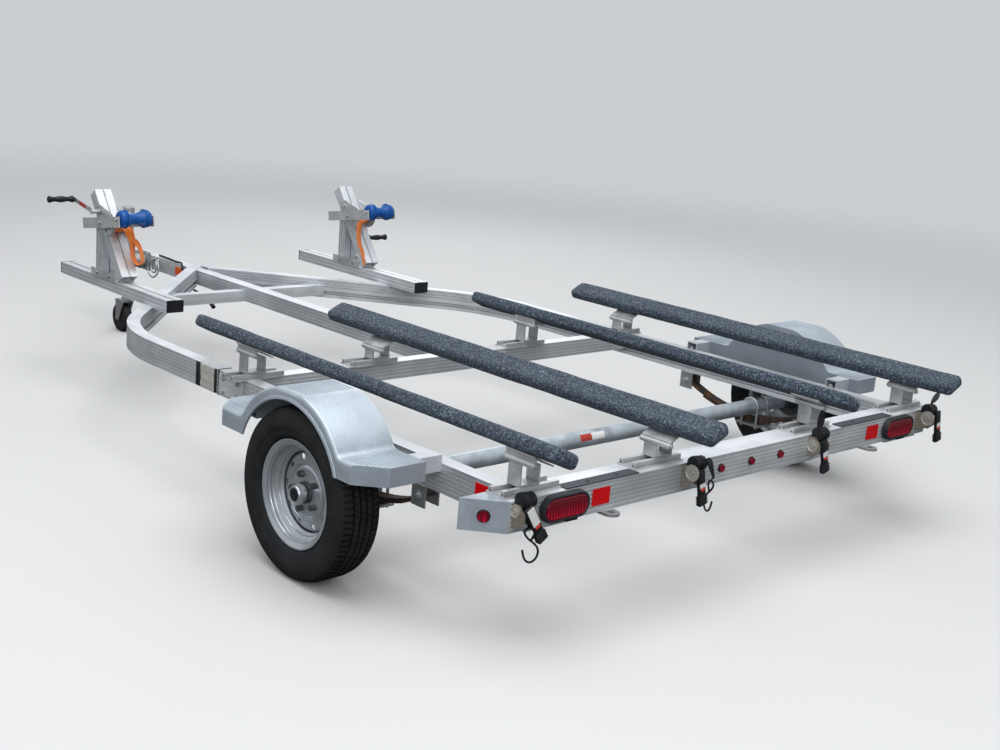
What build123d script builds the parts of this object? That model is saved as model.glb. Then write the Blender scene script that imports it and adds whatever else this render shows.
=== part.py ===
from build123d import *
import math
import os

# Aluminium road trailer for two small watercraft, standing on its two wheels and its jack.
# Millimetres. +X is forward, +Y is the trailer's left, +Z is up, and the ground is Z = 0.

# Running gear
tyre_radius = 266.0
tyre_width = 148.0
tyre_bead_radius = 153.0
tread_half_width = 55.0
rim_flange_radius = 166.5
rim_width = 116.0
rim_wall = 4.0
rim_well_radius = 128.0
disc_inset = 52.0
disc_wall = 4.0
hub_bore_radius = 34.0
lug_circle_radius = 57.0
lug_hole_radius = 8.0
vent_circle_radius = 108.0
vent_hole_radius = 10.5
hat_radius = 74.0
hat_rise = 7.0
wheel_centre_y = 1211.0
axle_radius = 30.0
spindle_radius = 19.0
running_clearance = 0.3

# Main frame
frame_top = 420.0
rail_height = 90.0
rail_width = 51.0
rail_outer_y = 1000.0
rail_wall = 4.0
rail_bend_start = 1360.0
rail_bend_radius = 665.0
rail_bend_angle = 41.0
flute_width = 7.0
flute_depth = 1.5
cross_rear_depth = 100.0
cross_rear_half_length = 1060.0
outer_bunk_y = 960.0
cross_front_depth = 55.0
cross_front_height = 66.0
tongue_width = 64.0
tongue_height = 70.0
tongue_drop = 10.0
nose_beam_width = 51.0
nose_beam_height = 50.0

# Stations along X, measured forward from the axle
rear_face = -699.0
cross_front_rear_face = 700.0
nose_beam_station = 2240.0
tongue_front = 3500.0
coupler_front = 3700.0
jack_station = 3170.0
tail_reach = 48.0

# Bunks and their brackets
craft_centre_y = 658.0
bunk_height = 552.0
bunk_width = 92.0
bunk_thickness = 48.0
bunk_tilt = 25.0
bunk_rear = -856.0
bunk_front = 1038.0
hinge_drop = 39.0

# Bow stands
bow_bar_width = 76.0
bow_bar_height = 51.0
bow_bar_rear = 1771.0
bow_bar_front = 2728.0
bow_bar_wall = 4.0
post_lean = 37.0
post_foot = 2173.0
post_length = 430.0
brace_front = 2392.0
foot_plate_rear = 2212.0
foot_plate_front = 2426.0
roller_station = 2127.0
roller_height = 756.0
roller_length = 146.0
roller_radius = 38.0
roller_waist_radius = 25.0
roller_pin_radius = 8.0
drum_station = 2268.0
drum_below_roller = 44.0
pinion_station = 2352.0
pinion_above_roller = 1.0
shaft_radius = 8.0

# Fenders
fender_outer_y = 1295.0
fender_width = 205.0
fender_wall = 2.5
fender_arch_radius = 288.0
fender_opening_radius = 252.0
fender_centre_z = 300.0
fender_shift = 10.0
fender_step_top = 448.0
fender_skirt_bottom = 390.0
fender_front_reach = 429.0
fender_rear_reach = 390.0
fender_corner_cut = 78.0
fender_stub_width = 50.0
fender_stub_height = 50.0
fender_stub_inset = 62.0
fender_stub_reach = 175.0
fender_stub_wall = 4.0

# Jack
jack_offset_y = 132.0
jack_tube_radius = 28.5
jack_tube_wall = 3.0
jack_tube_bottom = 300.0
jack_tube_top = 625.0
jack_leg_radius = 24.0
jack_wheel_radius = 75.0
jack_wheel_width = 40.0
jack_trail = 42.0

# The origin is under the middle of the whole trailer, and this is where the axle is
tail_end = min(bunk_rear, rear_face - tail_reach)
axle_x = -(coupler_front + tail_end) / 2
rail_centre_y = rail_outer_y - rail_width / 2
rail_mid_z = frame_top - rail_height / 2
cross_rear_front_face = rear_face + cross_rear_depth
cross_front_front_face = cross_front_rear_face + cross_front_depth
tongue_top = frame_top - tongue_drop
tongue_mid_z = tongue_top - tongue_height / 2

os.makedirs("parts", exist_ok=True)
pieces = {}


def finish(name, builder):
    """Label a finished piece and write its file."""
    builder.part.label = name
    export_step(builder.part, f"parts/{name}.step")
    pieces[name] = builder.part


def side_plane(y):
    """A plane seen from the left: local x is forward, local y is up, and it extrudes to the right."""
    return Plane(origin=(0, y, 0), x_dir=(1, 0, 0), z_dir=(0, -1, 0))


def cross_plane(station):
    """A plane across the trailer: local x is left, local y is up, and it extrudes forward."""
    return Plane(origin=(axle_x + station, 0, 0), x_dir=(0, 1, 0), z_dir=(1, 0, 0))


def evenly(length, count, width, depth):
    """Grooves spread evenly along one side of an extrusion, as (middle, width, depth)."""
    pitch = length / count
    return [((i - (count - 1) / 2) * pitch, width, depth) for i in range(count)]


def grooved_outline(width, height, right=(), top=(), left=(), bottom=()):
    """Corner points of a rectangle whose sides carry square grooves."""
    half_w = width / 2
    half_h = height / 2
    points = []
    for middle, groove, depth in sorted(bottom):
        low, high = middle - groove / 2, middle + groove / 2
        points += [(low, -half_h), (low, depth - half_h), (high, depth - half_h), (high, -half_h)]
    points = [(-half_w, -half_h)] + points + [(half_w, -half_h)]
    for middle, groove, depth in sorted(right):
        low, high = middle - groove / 2, middle + groove / 2
        points += [(half_w, low), (half_w - depth, low), (half_w - depth, high), (half_w, high)]
    points += [(half_w, half_h)]
    for middle, groove, depth in sorted(top, reverse=True):
        low, high = middle - groove / 2, middle + groove / 2
        points += [(high, half_h), (high, half_h - depth), (low, half_h - depth), (low, half_h)]
    points += [(-half_w, half_h)]
    for middle, groove, depth in sorted(left, reverse=True):
        low, high = middle - groove / 2, middle + groove / 2
        points += [(-half_w, high), (depth - half_w, high), (depth - half_w, low), (-half_w, low)]
    return points


def extrusion_section(plane, width, height, wall, **grooves):
    """The closed section of an aluminium extrusion, hollow, with its grooves."""
    deep = {
        side: [(middle, groove + 2 * wall, depth) for middle, groove, depth in cuts if depth > wall]
        for side, cuts in grooves.items()
    }
    with BuildSketch(plane) as section:
        with BuildLine():
            Polyline(*grooved_outline(width, height, **grooves), close=True)
        make_face()
        with BuildLine():
            Polyline(*grooved_outline(width - 2 * wall, height - 2 * wall, **deep), close=True)
        make_face(mode=Mode.SUBTRACT)
    return section.sketch


# Side rails: one fluted extrusion each, straight beside the wheels and bent inwards to the tongue
rail_outer_flutes = evenly(rail_height, 7, flute_width, flute_depth)
rail_inner_flutes = [(middle, flute_width, flute_depth) for middle in (8.0, 21.0, 34.0)]
rail_inner_slot = [(-22.0, 18.0, 14.0)]
bend = math.radians(rail_bend_angle)
rail_end_run = 1300.0
with BuildPart() as rail_left:
    with BuildLine(Plane.XY.offset(rail_mid_z)) as rail_path:
        straight = Line(
            (axle_x + cross_rear_front_face, rail_centre_y),
            (axle_x + rail_bend_start, rail_centre_y),
        )
        turn = JernArc(
            start=straight @ 1, tangent=straight % 1, radius=rail_bend_radius, arc_size=-rail_bend_angle
        )
        Line(turn @ 1, turn @ 1 + (turn % 1) * rail_end_run)
    rail_start = Plane(origin=straight @ 0, x_dir=(0, 1, 0), z_dir=(1, 0, 0))
    section = extrusion_section(
        rail_start, rail_width, rail_height, rail_wall,
        right=rail_outer_flutes, left=rail_inner_flutes + rail_inner_slot,
    )
    sweep(sections=section, path=rail_path.line, transition=Transition.RIGHT)
    split(bisect_by=Plane(origin=(0, tongue_width / 2, 0), z_dir=(0, 1, 0)), keep=Keep.TOP)
finish("rail_left", rail_left)

# Tongue: a fluted tube on the centreline, from the front cross member to the coupler
with BuildPart() as tongue:
    tongue_start = Plane(
        origin=(axle_x + cross_front_front_face, 0, tongue_mid_z), x_dir=(0, 1, 0), z_dir=(1, 0, 0)
    )
    tongue_flutes = evenly(tongue_height, 5, flute_width, flute_depth)
    section = extrusion_section(
        tongue_start, tongue_width, tongue_height, rail_wall, right=tongue_flutes, left=tongue_flutes
    )
    extrude(section, amount=tongue_front - cross_front_front_face)
finish("tongue", tongue)

# Rear cross member: a deep fluted beam that carries the lamps, open along its front
with BuildPart() as crossmember_rear:
    rear_end = Plane(
        origin=(axle_x + rear_face + cross_rear_depth / 2, -cross_rear_half_length, rail_mid_z),
        x_dir=(-1, 0, 0), z_dir=(0, 1, 0),
    )
    section = extrusion_section(rear_end, cross_rear_depth, rail_height, rail_wall, right=rail_outer_flutes)
    extrude(section, amount=2 * cross_rear_half_length)
finish("crossmember_rear", crossmember_rear)

# Front cross member: between the rails, level with their tops
with BuildPart() as crossmember_front:
    cross_front_half = rail_outer_y - rail_width
    front_end = Plane(
        origin=(
            axle_x + cross_front_rear_face + cross_front_depth / 2,
            -cross_front_half,
            frame_top - cross_front_height / 2,
        ),
        x_dir=(-1, 0, 0), z_dir=(0, 1, 0),
    )
    cross_front_flutes = evenly(cross_front_height, 5, flute_width, flute_depth)
    section = extrusion_section(
        front_end, cross_front_depth, cross_front_height, rail_wall,
        right=cross_front_flutes, left=cross_front_flutes,
    )
    extrude(section, amount=2 * cross_front_half)
finish("crossmember_front", crossmember_front)

# Nose beams: short beams from each side of the tongue to the slanted part of each rail
slant_slope = math.tan(bend)
bend_end_x = rail_bend_start + rail_bend_radius * math.sin(bend)
bend_end_y = rail_centre_y - rail_bend_radius * (1 - math.cos(bend))
slant_inner_x = bend_end_x - rail_width / 2 * math.sin(bend)
slant_inner_y = bend_end_y - rail_width / 2 * math.cos(bend)


def slant_inner_edge(station):
    """Where the inner face of the slanted rail is, at a station from the axle."""
    return slant_inner_y - (station - slant_inner_x) * slant_slope


nose_rear = nose_beam_station - nose_beam_width / 2
nose_front = nose_beam_station + nose_beam_width / 2
nose_plan = [
    (axle_x + nose_rear, tongue_width / 2),
    (axle_x + nose_front, tongue_width / 2),
    (axle_x + nose_front, slant_inner_edge(nose_front)),
    (axle_x + nose_rear, slant_inner_edge(nose_rear)),
]
with BuildPart() as crossmember_nose:
    with BuildSketch(Plane.XY.offset(tongue_top - tongue_height)):
        with BuildLine():
            Polyline(*nose_plan, close=True)
        make_face()
    extrude(amount=nose_beam_height)
    mirror(about=Plane.XZ)
finish("crossmember_nose", crossmember_nose)

# Corner boxes: three-cornered sheet boxes outboard of the rear cross member, for the side lamps
corner_box_out = 96.0
with BuildPart() as corner_boxes:
    with BuildSketch(Plane.XY.offset(frame_top - rail_height)):
        with BuildLine():
            Polyline(
                (axle_x + rear_face, cross_rear_half_length),
                (axle_x + cross_rear_front_face, cross_rear_half_length),
                (axle_x + cross_rear_front_face, cross_rear_half_length + corner_box_out),
                close=True,
            )
        make_face()
    extrude(amount=rail_height)
    mirror(about=Plane.XZ)
finish("corner_boxes", corner_boxes)

# Corner plates: flat gussets under the joints of the rails and the rear cross member
plate_thickness = 6.0
corner_plate_leg = 150.0
with BuildPart() as corner_plates:
    with BuildSketch(Plane.XY.offset(frame_top - rail_height - plate_thickness)):
        with BuildLine():
            Polyline(
                (axle_x + rear_face, rail_outer_y),
                (axle_x + cross_rear_front_face + corner_plate_leg, rail_outer_y),
                (axle_x + cross_rear_front_face + corner_plate_leg, rail_outer_y - rail_width),
                (axle_x + cross_rear_front_face, rail_outer_y - rail_width - corner_plate_leg),
                (axle_x + rear_face, rail_outer_y - rail_width - corner_plate_leg),
                close=True,
            )
        make_face()
    extrude(amount=plate_thickness)
    mirror(about=Plane.XZ)
finish("corner_plates", corner_plates)

# Splice plates: smooth strips over the joint in each rail's outer face
splice_rear = 705.0
splice_front = 855.0
splice_height = 74.0
splice_thickness = 5.0
with BuildPart() as splice_plates:
    with BuildSketch(side_plane(rail_outer_y + splice_thickness)):
        with Locations((axle_x + (splice_rear + splice_front) / 2, rail_mid_z)):
            RectangleRounded(splice_front - splice_rear, splice_height, 3.0)
    extrude(amount=splice_thickness)
    mirror(about=Plane.XZ)
finish("splice_plates", splice_plates)

# Axle: a round tube with a spindle at each end
hub_inner_y = 1140.0
saddle_length = 44.0
saddle_height = 6.0
spring_leaf_width = 45.0
spindle_end_y = 1222.0
with BuildPart() as axle:
    with BuildSketch(side_plane(hub_inner_y)):
        with Locations((axle_x, tyre_radius)):
            Circle(axle_radius)
    extrude(amount=2 * hub_inner_y)
    with BuildSketch(side_plane(spindle_end_y)):
        with Locations((axle_x, tyre_radius)):
            Circle(spindle_radius)
    extrude(amount=2 * spindle_end_y)
    with BuildSketch(Plane.XY.offset(tyre_radius - axle_radius - saddle_height)):
        with Locations((axle_x, rail_centre_y), (axle_x, -rail_centre_y)):
            Rectangle(saddle_length, spring_leaf_width)
    extrude(amount=axle_radius + saddle_height)
finish("axle", axle)

# Leaf springs: three leaves under the axle, from the front hanger's eye to the rear slipper
spring_y = rail_centre_y
spring_front = 345.0
spring_rear = -265.0
spring_end_z = 300.0
spring_seat_clearance = 4.0
leaf_thickness = 8.0
leaf_lengths = (1.0, 0.68, 0.4)
spring_seat_z = tyre_radius - axle_radius - saddle_height - spring_seat_clearance
spring_rise = spring_end_z - spring_seat_z
spring_half = (spring_front - spring_rear) / 2
spring_mid = (spring_front + spring_rear) / 2
spring_arc_radius = (spring_half**2 + spring_rise**2) / (2 * spring_rise)
spring_arc_z = spring_seat_z + spring_arc_radius
spring_eye_radius = 16.0
with BuildPart() as leaf_springs:
    with BuildSketch(side_plane(spring_y + spring_leaf_width / 2)):
        for leaf, share in enumerate(leaf_lengths):
            top_radius = spring_arc_radius + leaf * leaf_thickness
            low_radius = top_radius + leaf_thickness
            reach = math.degrees(math.asin(share * spring_half / spring_arc_radius))
            with BuildLine():
                upper = CenterArc((axle_x + spring_mid, spring_arc_z), top_radius, 270 - reach, 2 * reach)
                lower = CenterArc((axle_x + spring_mid, spring_arc_z), low_radius, 270 - reach, 2 * reach)
                Line(upper @ 0, lower @ 0)
                Line(upper @ 1, lower @ 1)
            make_face()
        with Locations((axle_x + spring_front, spring_end_z - leaf_thickness / 2)):
            Circle(spring_eye_radius)
            Circle(spring_eye_radius / 2, mode=Mode.SUBTRACT)
    extrude(amount=spring_leaf_width)
    mirror(about=Plane.XZ)
finish("leaf_springs", leaf_springs)

# Spring hangers: folded plates on both sides of each spring end, bolted up to the rail
hanger_length = 62.0
hanger_plate = 5.0
hanger_bottom = 262.0
hanger_gap = spring_leaf_width + 2.0
with BuildPart() as spring_hangers:
    for station in (spring_front, spring_rear + 12.0):
        with BuildSketch(cross_plane(station - hanger_length / 2)):
            with Locations((spring_y, (frame_top - rail_height + hanger_bottom) / 2)):
                Rectangle(hanger_gap + 2 * hanger_plate, frame_top - rail_height - hanger_bottom)
            with Locations((spring_y, (frame_top - rail_height - hanger_plate + hanger_bottom) / 2)):
                Rectangle(
                    hanger_gap, frame_top - rail_height - hanger_plate - hanger_bottom, mode=Mode.SUBTRACT
                )
        extrude(amount=hanger_length)
    mirror(about=Plane.XZ)
finish("spring_hangers", spring_hangers)

# Spring clamps: round bolts bent over the axle, down to a plate below each spring
clamp_rod_radius = 5.0
clamp_half_spacing = 33.0
clamp_plate_length = 110.0
clamp_plate_thickness = 8.0
clamp_bolt_reach = 10.0
clamp_bend_radius = axle_radius + clamp_rod_radius + running_clearance
spring_stack = leaf_thickness * len(leaf_lengths)
clamp_plate_top = spring_seat_z - spring_stack - spring_seat_clearance
with BuildPart() as spring_clamps:
    with BuildSketch(Plane.XY.offset(clamp_plate_top - clamp_plate_thickness)):
        with Locations((axle_x, spring_y)):
            Rectangle(clamp_plate_length, 2 * (clamp_half_spacing + 2.5 * clamp_rod_radius))
    extrude(amount=clamp_plate_thickness)
    rod_bottom = clamp_plate_top - clamp_plate_thickness - clamp_bolt_reach
    for rod_y in (spring_y - clamp_half_spacing, spring_y + clamp_half_spacing):
        with BuildLine(side_plane(rod_y)) as rod_path:
            Line((axle_x - clamp_bend_radius, rod_bottom), (axle_x - clamp_bend_radius, tyre_radius))
            CenterArc((axle_x, tyre_radius), clamp_bend_radius, 180, -180)
            Line((axle_x + clamp_bend_radius, tyre_radius), (axle_x + clamp_bend_radius, rod_bottom))
        with BuildSketch(Plane(origin=(axle_x - clamp_bend_radius, rod_y, rod_bottom))):
            Circle(clamp_rod_radius)
        sweep(path=rod_path.line)
    mirror(about=Plane.XZ)
finish("spring_clamps", spring_clamps)

# Bump stops: rubber cones under the rails, above the axle
bump_radius = 21.0
bump_gap = 8.0
bump_taper = 12.0
bump_height = frame_top - rail_height - tyre_radius - axle_radius - bump_gap
with BuildPart() as bump_stops:
    with BuildSketch(Plane(origin=(axle_x, spring_y, frame_top - rail_height), z_dir=(0, 0, -1))):
        Circle(bump_radius)
    extrude(amount=bump_height, taper=bump_taper)
    mirror(about=Plane.XZ)
finish("bump_stops", bump_stops)

# Fenders: a hooded arch over each wheel with a step before and behind it
fender_x = axle_x + fender_shift
fender_stub_stations = (
    fender_x + fender_front_reach - fender_stub_inset,
    fender_x - fender_rear_reach + fender_stub_inset,
)
fender_stub_z = fender_step_top - fender_wall - fender_stub_height / 2
fender_valley_radius = 16.0
fender_shoulder = 9.0
lip_width = 13.0
lip_rise = 3.0


def fender_form(inset):
    """The fender seen from the side, drawn in by a wall's thickness."""
    radius = fender_arch_radius - inset
    step = fender_step_top - inset
    foot = math.sqrt(radius**2 - (step - fender_centre_z) ** 2)
    crown = (fender_x, fender_centre_z + radius)
    front = fender_x + fender_front_reach - inset
    rear = fender_x - fender_rear_reach + inset
    bottom = fender_skirt_bottom - inset
    with BuildSketch(side_plane(fender_outer_y - inset)) as form:
        with BuildLine():
            ThreePointArc((fender_x - foot, step), crown, (fender_x + foot, step))
            Polyline(
                (fender_x + foot, step),
                (front, step),
                (front, bottom),
                (rear, bottom),
                (rear, step),
                (fender_x - foot, step),
            )
        make_face()
        valleys = form.vertices().sort_by(lambda corner: abs(corner.X - fender_x))[:2]
        fillet(valleys, fender_valley_radius + inset)
    return form.sketch


def shoulder_edges(shell, inset):
    """The edges between a fender's outer face and its top."""
    face = shell.faces().sort_by(Axis.Y)[-1]
    return [edge for edge in face.edges() if edge.center().Z > fender_step_top - inset - 1.0]


with BuildPart() as fender_hollow:
    extrude(fender_form(fender_wall), amount=fender_width - 2 * fender_wall)
    chamfer(fender_hollow.edges().filter_by(Axis.Z).sort_by(Axis.Y)[-2:], fender_corner_cut)
    chamfer(shoulder_edges(fender_hollow, fender_wall), fender_shoulder)

with BuildPart() as fender_left:
    extrude(fender_form(0.0), amount=fender_width)
    chamfer(fender_left.edges().filter_by(Axis.Z).sort_by(Axis.Y)[-2:], fender_corner_cut)
    chamfer(shoulder_edges(fender_left, 0.0), fender_shoulder)
    add(fender_hollow.part, mode=Mode.SUBTRACT)
    with BuildSketch(side_plane(fender_outer_y + lip_rise)):
        with Locations((fender_x, fender_centre_z)):
            Circle(fender_opening_radius + lip_width)
        with Locations((fender_x, fender_skirt_bottom - fender_arch_radius)):
            Rectangle(2 * fender_arch_radius, 2 * fender_arch_radius, mode=Mode.SUBTRACT)
    extrude(amount=lip_rise + fender_wall)
    with BuildSketch(side_plane(fender_outer_y + lip_rise)):
        with Locations((fender_x, fender_centre_z)):
            Circle(fender_opening_radius)
    extrude(amount=lip_rise + 2 * fender_wall, mode=Mode.SUBTRACT)
    with BuildSketch(side_plane(fender_outer_y - fender_width + 2 * fender_wall)):
        for stub_x in fender_stub_stations:
            with Locations((stub_x, fender_stub_z)):
                Rectangle(fender_stub_width, fender_stub_height)
            with Locations((stub_x, fender_stub_z - fender_stub_height / 2)):
                Rectangle(fender_stub_width, fender_stub_height)
    extrude(amount=3 * fender_wall, mode=Mode.SUBTRACT)
finish("fender_left", fender_left)

# Fender brackets: square tubes from the rails out under the steps
with BuildPart() as fender_brackets:
    for stub_x in fender_stub_stations:
        with BuildSketch(side_plane(rail_outer_y + fender_stub_reach)):
            with Locations((stub_x, fender_stub_z)):
                Rectangle(fender_stub_width, fender_stub_height)
                Rectangle(
                    fender_stub_width - 2 * fender_stub_wall,
                    fender_stub_height - 2 * fender_stub_wall,
                    mode=Mode.SUBTRACT,
                )
        extrude(amount=fender_stub_reach)
    mirror(about=Plane.XZ)
finish("fender_brackets", fender_brackets)

# Bunks: four carpeted boards that tilt towards the middle of each craft
tilt = math.radians(bunk_tilt)
bunk_rows = (
    # name, middle, side of its craft, rear end, middles of its rear and front brackets, shift of their bases
    ("outer_left", outer_bunk_y, 1, bunk_rear + 50.0, 959.0, 955.0, -5.0),
    ("inner_left", 383.0, -1, bunk_rear, 398.0, 415.0, 30.0),
    ("inner_right", -356.0, 1, bunk_rear + 30.0, -393.0, -356.0, 30.0),
    ("outer_right", -outer_bunk_y, -1, bunk_rear, -973.0, -936.0, 20.0),
)
bunk_edge_radius = 9.0
for row_name, bunk_y, side, row_rear, *_ in bunk_rows:
    board_end = Plane(
        origin=(axle_x + row_rear, bunk_y, bunk_height),
        x_dir=(0, math.cos(tilt), side * math.sin(tilt)),
        z_dir=(1, 0, 0),
    )
    with BuildPart() as bunk:
        with BuildSketch(board_end):
            RectangleRounded(bunk_width, bunk_thickness, bunk_edge_radius)
        extrude(amount=bunk_front - row_rear)
    finish(f"bunk_{row_name}", bunk)

# Bunk brackets: a ribbed base strip, a channel standing on it, and a tilting head on a round hinge
base_length = 210.0
base_half_width = 40.0
base_flange = 5.0
base_trough = 8.0
rib_outer = 31.0
rib_inner = 17.0
rib_height = 20.0
boss_radius = 3.5
channel_width = 76.0
channel_length = 50.0
channel_wall = 5.0
knuckle_radius = 9.0
knuckle_sink = 2.0
head_plate = 5.0
head_front = 40.0
head_rear = 75.0
head_half = 38.0
bunk_gap = 1.0
channel_top_gap = 4.0
bracket_stations = (rear_face + base_half_width + 20.0, cross_front_rear_face + cross_front_depth / 2 - 5.0)
base_outline = [
    # forward from the bracket's middle, height above the frame
    (-base_half_width, 0.0),
    (base_half_width, 0.0),
    (base_half_width, base_flange),
    (rib_outer, base_flange),
    (rib_outer, rib_height),
    (rib_inner, rib_height),
    (rib_inner, base_trough),
    (-rib_inner, base_trough),
    (-rib_inner, rib_height),
    (-rib_outer, rib_height),
    (-rib_outer, base_flange),
    (-base_half_width, base_flange),
]
channel_bottom = frame_top + rib_height
under_plate = bunk_gap + head_plate
bracket_places = [
    (station, middle_y, base_shift, bunk_y, side)
    for _, bunk_y, side, _, rear_y, front_y, base_shift in bunk_rows
    for station, middle_y in zip(bracket_stations, (rear_y, front_y))
]


def under_bunk(bunk_y, side, y, drop):
    """Height at a distance from the trailer's middle, at a drop below the tilted board and square to it."""
    return bunk_height - (bunk_thickness / 2 + drop) / math.cos(tilt) + side * (y - bunk_y) * math.tan(tilt)


with BuildPart() as bunk_brackets:
    for station, middle_y, base_shift, bunk_y, side in bracket_places:
        bracket_x = axle_x + station
        with BuildSketch(side_plane(middle_y + base_shift + base_length / 2)):
            with BuildLine():
                Polyline(*[(bracket_x + x, frame_top + z) for x, z in base_outline], close=True)
            make_face()
            rib_middle = (rib_outer + rib_inner) / 2
            with Locations(
                (bracket_x - rib_middle, frame_top + rib_height / 2),
                (bracket_x + rib_middle, frame_top + rib_height / 2),
            ):
                Circle(boss_radius, mode=Mode.SUBTRACT)
        extrude(amount=base_length)

        left_y = middle_y + channel_width / 2
        right_y = middle_y - channel_width / 2
        hinge_y = left_y - knuckle_radius / 2
        hinge_z = min(
            under_bunk(bunk_y, side, hinge_y, under_plate + knuckle_radius - knuckle_sink),
            bunk_height - hinge_drop,
        )
        wall_drop = under_plate + channel_top_gap
        with BuildSketch(cross_plane(station - channel_length / 2)):
            with BuildLine():
                Polyline(
                    (left_y, channel_bottom),
                    (left_y, hinge_z),
                    (left_y - channel_wall, hinge_z),
                    (left_y - channel_wall, channel_bottom + channel_wall),
                    (right_y + channel_wall, channel_bottom + channel_wall),
                    (right_y + channel_wall, under_bunk(bunk_y, side, right_y + channel_wall, wall_drop)),
                    (right_y, under_bunk(bunk_y, side, right_y, wall_drop)),
                    (right_y, channel_bottom),
                    close=True,
                )
            make_face()
        extrude(amount=channel_length)

        head_low = bunk_y - head_half
        head_high = max(bunk_y + head_half, hinge_y + channel_wall / 2)
        with BuildSketch(cross_plane(station - head_rear)):
            with Locations((hinge_y, hinge_z)):
                Circle(knuckle_radius)
            with BuildLine():
                Polyline(
                    (head_low, under_bunk(bunk_y, side, head_low, bunk_gap)),
                    (head_high, under_bunk(bunk_y, side, head_high, bunk_gap)),
                    (head_high, under_bunk(bunk_y, side, head_high, under_plate)),
                    (head_low, under_bunk(bunk_y, side, head_low, under_plate)),
                    close=True,
                )
            make_face()
            with BuildLine():
                flange_left = hinge_y + channel_wall / 2
                flange_right = hinge_y - channel_wall / 2
                Polyline(
                    (flange_right, hinge_z),
                    (flange_left, hinge_z),
                    (flange_left, under_bunk(bunk_y, side, flange_left, under_plate - head_plate / 2)),
                    (flange_right, under_bunk(bunk_y, side, flange_right, under_plate - head_plate / 2)),
                    close=True,
                )
            make_face()
        extrude(amount=head_rear + head_front)
finish("bunk_brackets", bunk_brackets)

# Bow bars: grooved extrusions that lie along X over the bent part of each rail
bow_side_flutes = evenly(bow_bar_height, 3, flute_width, flute_depth)
centre_groove = [(0.0, 7.0, 3.0)]
bow_grooves = {
    "right": bow_side_flutes,
    "left": bow_side_flutes,
    "top": centre_groove,
    "bottom": centre_groove,
}
bow_bar_mid_z = frame_top + bow_bar_height / 2
with BuildPart() as bow_bars:
    bow_start = Plane(
        origin=(axle_x + bow_bar_rear, craft_centre_y, bow_bar_mid_z), x_dir=(0, 1, 0), z_dir=(1, 0, 0)
    )
    section = extrusion_section(bow_start, bow_bar_width, bow_bar_height, bow_bar_wall, **bow_grooves)
    extrude(section, amount=bow_bar_front - bow_bar_rear)
    mirror(about=Plane.XZ)
finish("bow_bars", bow_bars)

# Bow bar caps: moulded plugs on the open ends of the bars
cap_thickness = 6.0
cap_corner = 4.0
with BuildPart() as bow_bar_caps:
    for cap_station in (bow_bar_rear - cap_thickness, bow_bar_front):
        with BuildSketch(cross_plane(cap_station)):
            with Locations((craft_centre_y, bow_bar_mid_z)):
                RectangleRounded(bow_bar_width, bow_bar_height, cap_corner)
        extrude(amount=cap_thickness)
    mirror(about=Plane.XZ)
finish("bow_bar_caps", bow_bar_caps)

# Bow posts: the same extrusion, leaning forward, cut square and standing on its lower front edge
bow_bar_top = frame_top + bow_bar_height
lean = math.radians(post_lean)
post_up = (math.sin(lean), 0, math.cos(lean))
post_start_z = bow_bar_top + bow_bar_height / 2 * math.sin(lean)
with BuildPart() as bow_posts:
    post_start = Plane(
        origin=(axle_x + post_foot, craft_centre_y, post_start_z), x_dir=(0, 1, 0), z_dir=post_up
    )
    section = extrusion_section(post_start, bow_bar_width, bow_bar_height, bow_bar_wall, **bow_grooves)
    extrude(section, amount=post_length)
    mirror(about=Plane.XZ)
finish("bow_posts", bow_posts)

# Bow braces: short uprights of the same extrusion in front of the posts, cut to the posts' slope
post_front_foot = post_foot + bow_bar_height / 2 * math.cos(lean)
brace_height = (brace_front - post_front_foot) / math.tan(lean)
with BuildPart() as bow_braces:
    brace_start = Plane(
        origin=(axle_x + brace_front - bow_bar_height / 2, craft_centre_y, bow_bar_top),
        x_dir=(0, 1, 0), z_dir=(0, 0, 1),
    )
    section = extrusion_section(brace_start, bow_bar_width, bow_bar_height, bow_bar_wall, **bow_grooves)
    extrude(section, amount=brace_height)
    with BuildSketch(side_plane(craft_centre_y + bow_bar_width)):
        with BuildLine():
            Polyline(
                (axle_x + post_front_foot, bow_bar_top),
                (axle_x + brace_front, bow_bar_top + brace_height),
                (axle_x + post_front_foot, bow_bar_top + brace_height),
                close=True,
            )
        make_face()
    extrude(amount=2 * bow_bar_width, mode=Mode.SUBTRACT)
    mirror(about=Plane.XZ)
finish("bow_braces", bow_braces)

# Foot plates: bolted strips on both sides of each stand's foot, with the bolts' heads
foot_plate_height = 40.0
foot_plate_rise = 32.0
foot_plate_wall = 5.0
foot_bolt_radius = 8.0
foot_bolt_head = 6.0
foot_bolt_inset = 52.0
foot_plate_y = craft_centre_y + bow_bar_width / 2 + foot_plate_wall
foot_bolt_stations = (foot_plate_rear + foot_bolt_inset, foot_plate_front - foot_bolt_inset)
with BuildPart() as bow_foot_plates:
    with BuildSketch(side_plane(foot_plate_y)):
        with Locations((
            axle_x + (foot_plate_rear + foot_plate_front) / 2,
            bow_bar_top + foot_plate_rise - foot_plate_height / 2,
        )):
            Rectangle(foot_plate_front - foot_plate_rear, foot_plate_height)
    extrude(amount=foot_plate_wall)
    with BuildSketch(side_plane(foot_plate_y + foot_bolt_head)):
        for bolt_station in foot_bolt_stations:
            with Locations((axle_x + bolt_station, bow_bar_top + foot_plate_rise / 2)):
                RegularPolygon(foot_bolt_radius, 6)
    extrude(amount=foot_bolt_head)
    mirror(about=Plane.XZ.offset(-craft_centre_y))
    mirror(about=Plane.XZ)
finish("bow_foot_plates", bow_foot_plates)

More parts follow.
